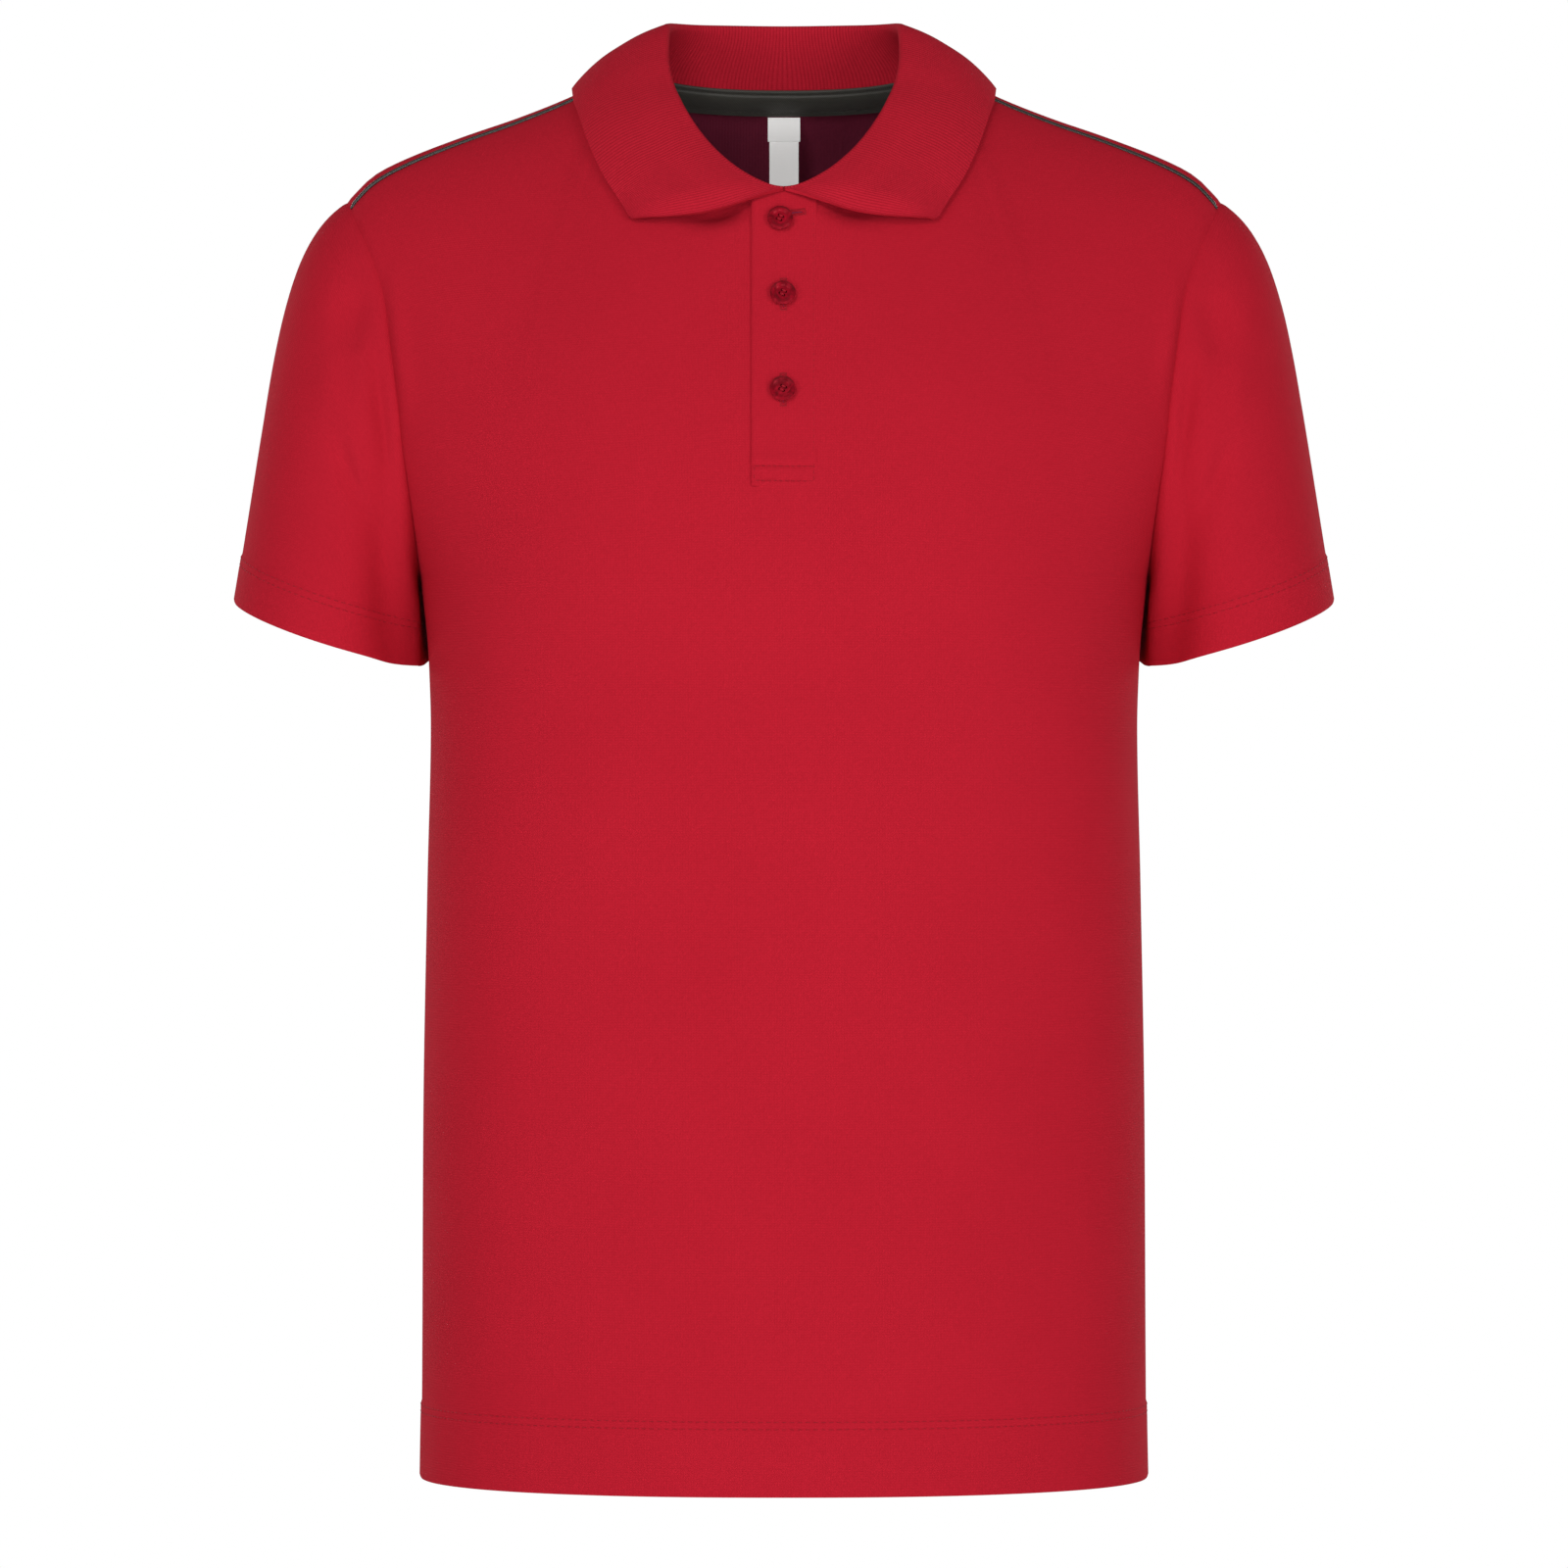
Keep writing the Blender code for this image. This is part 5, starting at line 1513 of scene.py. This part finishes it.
@dataclass
class NeckTape:
    """Twill tape inside the back neck, with a rolled bead along its upper edge. Sizes in mm."""

    drop: float = 5.6
    rise: float = 3.0
    gap: float = 0.5
    wall: float = 0.8
    last_share: float = 0.7663

    def profile(self, angle: float) -> list[tuple[Vector, Vector]]:
        """Cloth side of the tape from its bead down, with the direction towards the neck at each point."""
        x, z = BODY.neckline(Side.BACK, angle)
        out = BODY.normal(Side.BACK, x, z)
        rows = [(row[0], *row) for row in COLLAR_ROWS]
        turn = math.degrees(abs(angle))
        fold = Vector([SmoothCurve(rows, column)(turn) for column in (2, 3, 4)])
        fold.x = math.copysign(fold.x, angle)
        lean = fold - BODY.point(Side.BACK, x, z)
        slope = math.hypot(lean.x, lean.y) / lean.z
        inward = Vector((-math.sin(angle), -math.cos(angle), 0))
        seam = BODY.point(Side.BACK, x, z) - out * 1.2 + inward * self.gap
        seam.z -= SEAM_GAP
        made = []
        for height in (self.rise, 2.7, 2.3, 1.9, 1.5, 1.2, 0.9, 0.5, 0.0):
            # The bead stands out in a half round over the groove of its stitches
            across = (height - 2.2) / 0.8
            swell = 0.75 * math.sqrt(1 - across * across) if abs(across) < 1 else 0.0
            groove = -0.15 if height in (1.2, 0.9) else 0.0
            at = seam + inward * (height * slope + self.wall + swell + groove) + Vector((0, 0, height))
            made.append((at, inward))
        for drop in (0.8, 1.8, 2.8, 3.8, 4.4, 4.8, 5.2, self.drop):
            out = BODY.normal(Side.BACK, x, z - drop)
            groove = 0.14 * bump(drop - 4.6, 0.35)
            swell = 0.12 * math.sin(math.pi * min(1.0, drop / 4.4))
            point = BODY.point(Side.BACK, x, z - drop) - out * (1.2 + self.gap + self.wall + swell - groove)
            made.append((point, -out))
        return made

    def build(self) -> bpy.types.Object:
        """Builds the tape and the stitches along its lower edge."""
        angles = evenly(-math.pi / 2 * self.last_share, math.pi / 2 * self.last_share, 110)
        profiles = [self.profile(angle) for angle in angles]
        points = [[profile[i][0] for profile in profiles] for i in range(len(profiles[0]))]
        runs = arc_lengths(points[-1])
        climbs = arc_lengths([line[len(angles) // 2] for line in points])
        mesh = cloth_mesh(points, across=lambda i, j: runs[j], along=lambda i, j: climbs[i])
        face_outwards(mesh, Vector((0, 200, 0)))
        tape = make_piece("neck_tape_twill", mesh, TAPE, ["neck_tape"], self.wall)
        stitches = bmesh.new()
        fine = Stitching(pitch=2.4, length=1.9, radius=0.16, rise=0.0)
        for row in (5, -4):
            path = points[row]
            towards = [profile[row][1] for profile in profiles]
            fine.sew(stitches, path, towards)
        sewn = make_piece("neck_tape_stitches", stitches, TAPE)
        return tape


@dataclass
class Label:
    """A white woven label that hangs from under the neck tape. Sizes in mm; its face is left bare."""

    name: str
    replaces: str
    width: float
    height: float
    layer: int
    folded: bool
    lean: float = 0.12
    ply: float = 0.25
    fold_gap: float = 0.35

    def side_line(self) -> list[tuple[float, float]]:
        """The label seen from its side: distance towards the neck and drop, a loop where it is folded."""
        line = []
        for drop in evenly(0.0, self.height, 26):
            line.append((0.25 * math.sin(drop / self.height * math.pi), drop))
        if self.folded:
            behind = self.fold_gap + self.ply
            for turn in (2.4, 1.6, 0.8):
                ahead = -behind / 2 * (1 + math.cos(turn))
                line.append((ahead, self.height + behind / 2 * math.sin(turn)))
            line += [(-behind, drop) for drop in evenly(self.height, 0.0, 16)]
        return line

    def build(self) -> bpy.types.Object:
        """Builds the label with a slight curl."""
        foot, inward = NeckTape().profile(0.0)[-1]
        foot = foot - inward * 0.4
        top = foot.z - 0.4 - SEAM_GAP
        y = foot.y - self.layer * (0.4 + SEAM_GAP) - 0.2
        points = []
        for ahead, drop in self.side_line():
            line = []
            for x in evenly(-self.width / 2, self.width / 2, 14):
                curl = 0.35 * (2 * x / self.width) ** 2
                line.append(Vector((x, y + drop * self.lean - ahead - curl * ease(drop / 5), top - drop)))
            points.append(line)
        runs = arc_lengths([line[0] for line in points])
        mesh = cloth_mesh(points, across=lambda i, j: points[i][j].x, along=lambda i, j: -runs[i])
        first = max(mesh.faces, key=lambda face: face.calc_center_median().z)
        if first.normal.y > 0:
            bmesh.ops.reverse_faces(mesh, faces=mesh.faces)
        label = make_piece(self.name, mesh, SATIN, [self.replaces], self.ply)
        return label


@dataclass
class ShoulderPiping:
    """Round satin piping in the shoulder seam. Sizes in mm."""

    name: str
    replaces: str
    sign: int
    radius: float = 0.8
    clearance: float = 0.6
    sink: float = 0.3

    def build(self) -> bpy.types.Object:
        """Builds the piping as a closed tube with the flange that is caught in the seam."""
        path = []
        reach = (BODY.shoulder_x - BODY.neck_half_width) / 7
        first, last = BODY.neck_half_width + 0.15 * reach, BODY.shoulder_x - 0.1 * reach
        places = [first - 2.0, first - 1.0, *evenly(first, last, 70)]
        places += [last + 0.8, last + 1.6, last + 2.3]
        for x in places:
            ahead = BODY.seam_ahead(x) + self.radius + self.clearance
            z = BODY.ridge_z(Side.FRONT, x) - BODY.crest_drop(Side.FRONT, x, ahead)
            end = min(x - BODY.neck_half_width, BODY.shoulder_x - x)
            sunk = self.sink + 0.8 * (1 - ease(end / 3.5))
            path.append(BODY.point(Side.FRONT, x, z) - BODY.normal(Side.FRONT, x, z) * sunk)
        points = []
        flange = []
        for i, at in enumerate(path):
            along = (path[min(i + 1, len(path) - 1)] - path[max(i - 1, 0)]).normalized()
            side = along.cross(Vector((0, 0, 1))).normalized()
            up = side.cross(along)
            turns = evenly(0.0, 2 * math.pi, 16)
            if first <= places[i] <= last:
                narrow = self.radius * (0.55 if places[i] in (first, last) else 1.0)
                points.append([at + (side * math.cos(t) + up * math.sin(t)) * narrow for t in turns])
            # It reaches far under the back panel and dips under the front one
            spread = evenly(-3.2, 1.9, 7)
            flange.append([at + side * s - up * (1.2 + max(-0.1 * s, 0.25 * s)) for s in spread])
        if self.sign < 0:
            points = [[Vector((-p.x, p.y, p.z)) for p in line] for line in points]
            flange = [[Vector((-p.x, p.y, p.z)) for p in line] for line in flange]
        runs = arc_lengths([line[0] for line in points])
        strip_runs = arc_lengths([line[0] for line in flange])
        strip = cloth_mesh(flange, across=lambda i, j: j * 0.9, along=lambda i, j: strip_runs[i])
        make_piece(f"{self.name}_flange", strip, PIPING, thickness=0.35, offset=0.0)
        mesh = cloth_mesh(points, across=lambda i, j: j * 0.314, along=lambda i, j: runs[i], closed=True)
        bmesh.ops.holes_fill(mesh, edges=[edge for edge in mesh.edges if edge.is_boundary], sides=0)
        bmesh.ops.recalc_face_normals(mesh, faces=mesh.faces)
        return make_piece(self.name, mesh, PIPING, [self.replaces])


FRONT_CREASES = (
    # Soft ridge beside each armhole seam, a shade different on the two sides
    Crease((-142.6, -78.0), (-136.4, -128.0), 3.0, 1.6),
    Crease((142.8, -80.0), (136.8, -124.0), 3.0, 1.4),
    # Hollow beside the placket under each leaf
    Crease((-34.0, -58.0), (-15.0, -55.0), 4.5, -6.0),
    Crease((33.0, -57.5), (15.0, -54.0), 4.0, -4.5),
    # Slack below each underarm
    Crease((-127.0, -196.0), (-112.0, -238.0), 9.0, -0.9),
    Crease((127.0, -198.0), (115.0, -232.0), 8.0, -0.7),
    # Drape of the chest and the lower body
    Crease((-70.0, -96.0), (-96.0, -150.0), 24.0, 0.9),
    Crease((74.0, -90.0), (92.0, -142.0), 22.0, 0.8),
    Crease((-58.0, -330.0), (-70.0, -505.0), 26.0, -0.9),
    Crease((34.0, -360.0), (28.0, -512.0), 24.0, 0.7),
    Crease((92.0, -300.0), (98.0, -500.0), 20.0, -0.8),
    Crease((-104.0, -280.0), (-108.0, -470.0), 16.0, 0.7),
)
BACK_CREASES = (
    Crease((-142.0, -70.0), (-136.0, -122.0), 6.0, 0.7),
    Crease((143.0, -66.0), (137.0, -116.0), 6.0, 0.8),
    Crease((-127.0, -198.0), (-106.0, -246.0), 9.0, -0.9),
    Crease((127.0, -196.0), (110.0, -240.0), 9.0, -0.8),
    Crease((-8.0, -60.0), (-2.0, -190.0), 30.0, -1.1),
    Crease((-66.0, -110.0), (-80.0, -180.0), 26.0, 0.8),
    Crease((62.0, -104.0), (84.0, -176.0), 26.0, 0.9),
    Crease((-48.0, -300.0), (-62.0, -508.0), 26.0, 0.9),
    Crease((56.0, -320.0), (48.0, -510.0), 26.0, -0.9),
    Crease((102.0, -290.0), (106.0, -495.0), 18.0, 0.7),
)
SLEEVE_RIGHT_CREASES = (
    # The front turns back towards the body well before it meets it
    Crease((-97.0, 16.0), (-121.0, 170.0), 17.0, -6.2),
    # Soft troughs beside the seam on the front of the sleeve, with the ridge between them
    Crease((-45.0, 8.0), (-58.0, 21.0), 9.0, -3.7),
    Crease((-66.0, 8.0), (-95.0, 18.0), 8.0, -2.4),
    Crease((-49.0, 27.0), (-60.0, 40.0), 8.0, 1.3),
    Crease((-64.0, 45.0), (-84.0, 51.0), 6.5, -2.6),
    # Others on its back
    Crease((51.0, 44.0), (96.0, 55.0), 8.0, -2.6),
    Crease((90.0, 77.0), (60.0, 85.8), 6.0, -1.4),
    Crease((10.0, 30.0), (18.0, 78.0), 12.0, 0.5),
)
SLEEVE_LEFT_CREASES = (
    Crease((-98.0, 17.0), (-122.0, 170.0), 17.0, -6.0),
    Crease((-46.0, 9.0), (-60.0, 22.0), 9.5, -3.5),
    Crease((-67.0, 9.0), (-96.0, 17.0), 8.0, -2.2),
    Crease((-50.0, 28.0), (-62.0, 41.0), 8.0, 1.2),
    Crease((-66.0, 46.0), (-85.0, 50.0), 6.5, -2.4),
    Crease((50.0, 46.0), (97.0, 53.0), 8.0, -2.6),
    Crease((88.0, 79.0), (62.0, 84.0), 6.0, -1.5),
    Crease((14.0, 28.0), (22.0, 74.0), 12.0, 0.5),
)


@dataclass
class Shirt:
    """The whole polo shirt."""

    def build(self) -> None:
        """Builds every piece in the order in which it is sewn."""
        BodyPanel(Side.FRONT, "front_panel", FRONT_CREASES, (0.40, 0.56), 0.185).build()
        BodyPanel(Side.BACK, "back_panel", BACK_CREASES, (0.41, 0.58), 0.205).build()
        outer, inner = Vector((-202.6, 12, -196.6)), Vector((-127.5, 12, -219.5))
        Sleeve("sleeve_right_cloth", False, SLEEVE_RIGHT_CREASES, outer, inner).build()
        Sleeve("sleeve_left_cloth", True, SLEEVE_LEFT_CREASES, outer, inner).build()
        ShoulderPiping("piping_right_satin", "piping_right", -1).build()
        ShoulderPiping("piping_left_satin", "piping_left", 1).build()
        Placket().build()
        for name, side, height in (
            ("button_top", -1.4, -61.4),
            ("button_middle", -0.4, -88.9),
            ("button_bottom", -0.5, -123.6),
        ):
            Button(name, side, height).build()
        Collar().build()
        NeckTape().build()
        Label("name_label_satin", "name_label", 10.8, 33.0, 0, folded=False).build()
        Label("size_label_satin", "size_label", 12.0, 8.6, 1, folded=True).build()


@dataclass
class Studio:
    """Plain pale floor, soft studio light and the camera. Sizes in metres."""

    floor_z: float = -0.78
    floor_radius: float = 2.2
    camera_distance: float = 3.0
    camera_z: float = -0.26424
    lens_mm: float = 187.5

    def floor(self) -> None:
        """Makes the floor."""
        mesh = bmesh.new()
        bmesh.ops.create_circle(mesh, cap_ends=True, segments=96, radius=self.floor_radius)
        bmesh.ops.translate(mesh, verts=mesh.verts, vec=(0, 0, self.floor_z))
        data = bpy.data.meshes.new("studio_floor")
        mesh.to_mesh(data)
        mesh.free()
        material, tree, shader = new_material("white_paper_floor")
        place = add_node(tree, "ShaderNodeTexCoord").outputs["Object"]
        flat = {0: place, 1: (1, 1, 0)}
        level = add_node(tree, "ShaderNodeVectorMath", {"operation": "MULTIPLY"}, flat).outputs[0]
        tone = add_noise(tree, 3.0, 2.0)
        colour = mix_colours(tree, tone, hex_to_linear("#fafafa"), hex_to_linear("#ffffff"))
        tree.links.new(colour, shader.inputs["Base Color"])
        shader.inputs["Roughness"].default_value = 0.9
        # The paper brightens outwards until it is one with the white room
        out = add_node(tree, "ShaderNodeVectorMath", {"operation": "LENGTH"}, {0: level})
        glow = add_node(
            tree,
            "ShaderNodeMapRange",
            {"interpolation_type": "SMOOTHSTEP"},
            {"Value": out.outputs["Value"], "From Min": 0.9, "From Max": 2.1, "To Max": 0.95},
        ).outputs[0]
        shader.inputs["Emission Color"].default_value = (1, 1, 1, 1)
        tree.links.new(glow, shader.inputs["Emission Strength"])
        data.materials.append(material)
        floor = bpy.data.objects.new("studio_floor", data)
        bpy.context.scene.collection.objects.link(floor)

    def light(self, name: str, place: Vector, aim: Vector, size: float, power: float) -> None:
        """Adds one square softbox.

        Args:
            name: the light's name.
            place: where it stands.
            aim: what it points at.
            size: its side in metres.
            power: its power in watts.
        """
        data = bpy.data.lights.new(name, "AREA")
        data.shape = "SQUARE"
        data.size = size
        data.energy = power
        lamp = bpy.data.objects.new(name, data)
        lamp.location = place
        lamp.rotation_euler = (aim - place).to_track_quat("-Z", "Y").to_euler()
        bpy.context.scene.collection.objects.link(lamp)

    def world(self) -> None:
        """Makes the white room: plain white behind the shirt, softer as a light."""
        world = bpy.data.worlds.new("white_room")
        bpy.context.scene.world = world
        world.use_nodes = True
        tree = world.node_tree
        seen = add_node(tree, "ShaderNodeLightPath").outputs["Is Camera Ray"]
        strength = add_node(
            tree, "ShaderNodeMapRange", links={"Value": seen, "To Min": 0.3, "To Max": 1.0}
        ).outputs[0]
        background = tree.nodes["Background"]
        background.inputs["Color"].default_value = (1, 1, 1, 1)
        tree.links.new(strength, background.inputs["Strength"])

    def camera(self) -> None:
        """Puts the camera where the photograph was taken from."""
        data = bpy.data.cameras.new("studio_camera")
        data.lens = self.lens_mm
        data.sensor_width = 36.0
        data.clip_end = 40.0
        camera = bpy.data.objects.new("studio_camera", data)
        camera.location = (0, -self.camera_distance, self.camera_z)
        camera.rotation_euler = (math.pi / 2, 0, 0)
        bpy.context.scene.collection.objects.link(camera)
        bpy.context.scene.camera = camera

    def build(self) -> None:
        """Sets up the studio."""
        self.floor()
        self.world()
        chest = Vector((0, 0, -0.22))
        self.light("key_softbox", Vector((-0.7, -2.4, 1.15)), chest, 0.8, 17.5)
        self.light("right_softbox", Vector((1.6, -2.45, 0.0)), chest, 1.2, 23)
        self.light("left_softbox", Vector((-1.7, -2.4, -0.1)), chest, 1.2, 13)
        self.light("low_softbox", Vector((0, -2.2, -0.66)), Vector((0, 0, -0.4)), 0.5, 6.5)
        self.light("rear_left_softbox", Vector((-1.6, 2.2, 0.5)), chest, 1.2, 17)
        self.light("rear_right_softbox", Vector((1.6, 2.2, 0.3)), chest, 1.2, 17)
        self.camera()
        bpy.context.scene.view_settings.view_transform = "Standard"


def main() -> None:
    """Builds the shirt and its studio."""
    logging.basicConfig(level=logging.INFO, format="%(name)s %(message)s")
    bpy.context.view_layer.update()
    Shirt().build()
    Studio().build()


if __name__ == "__main__":
    main()
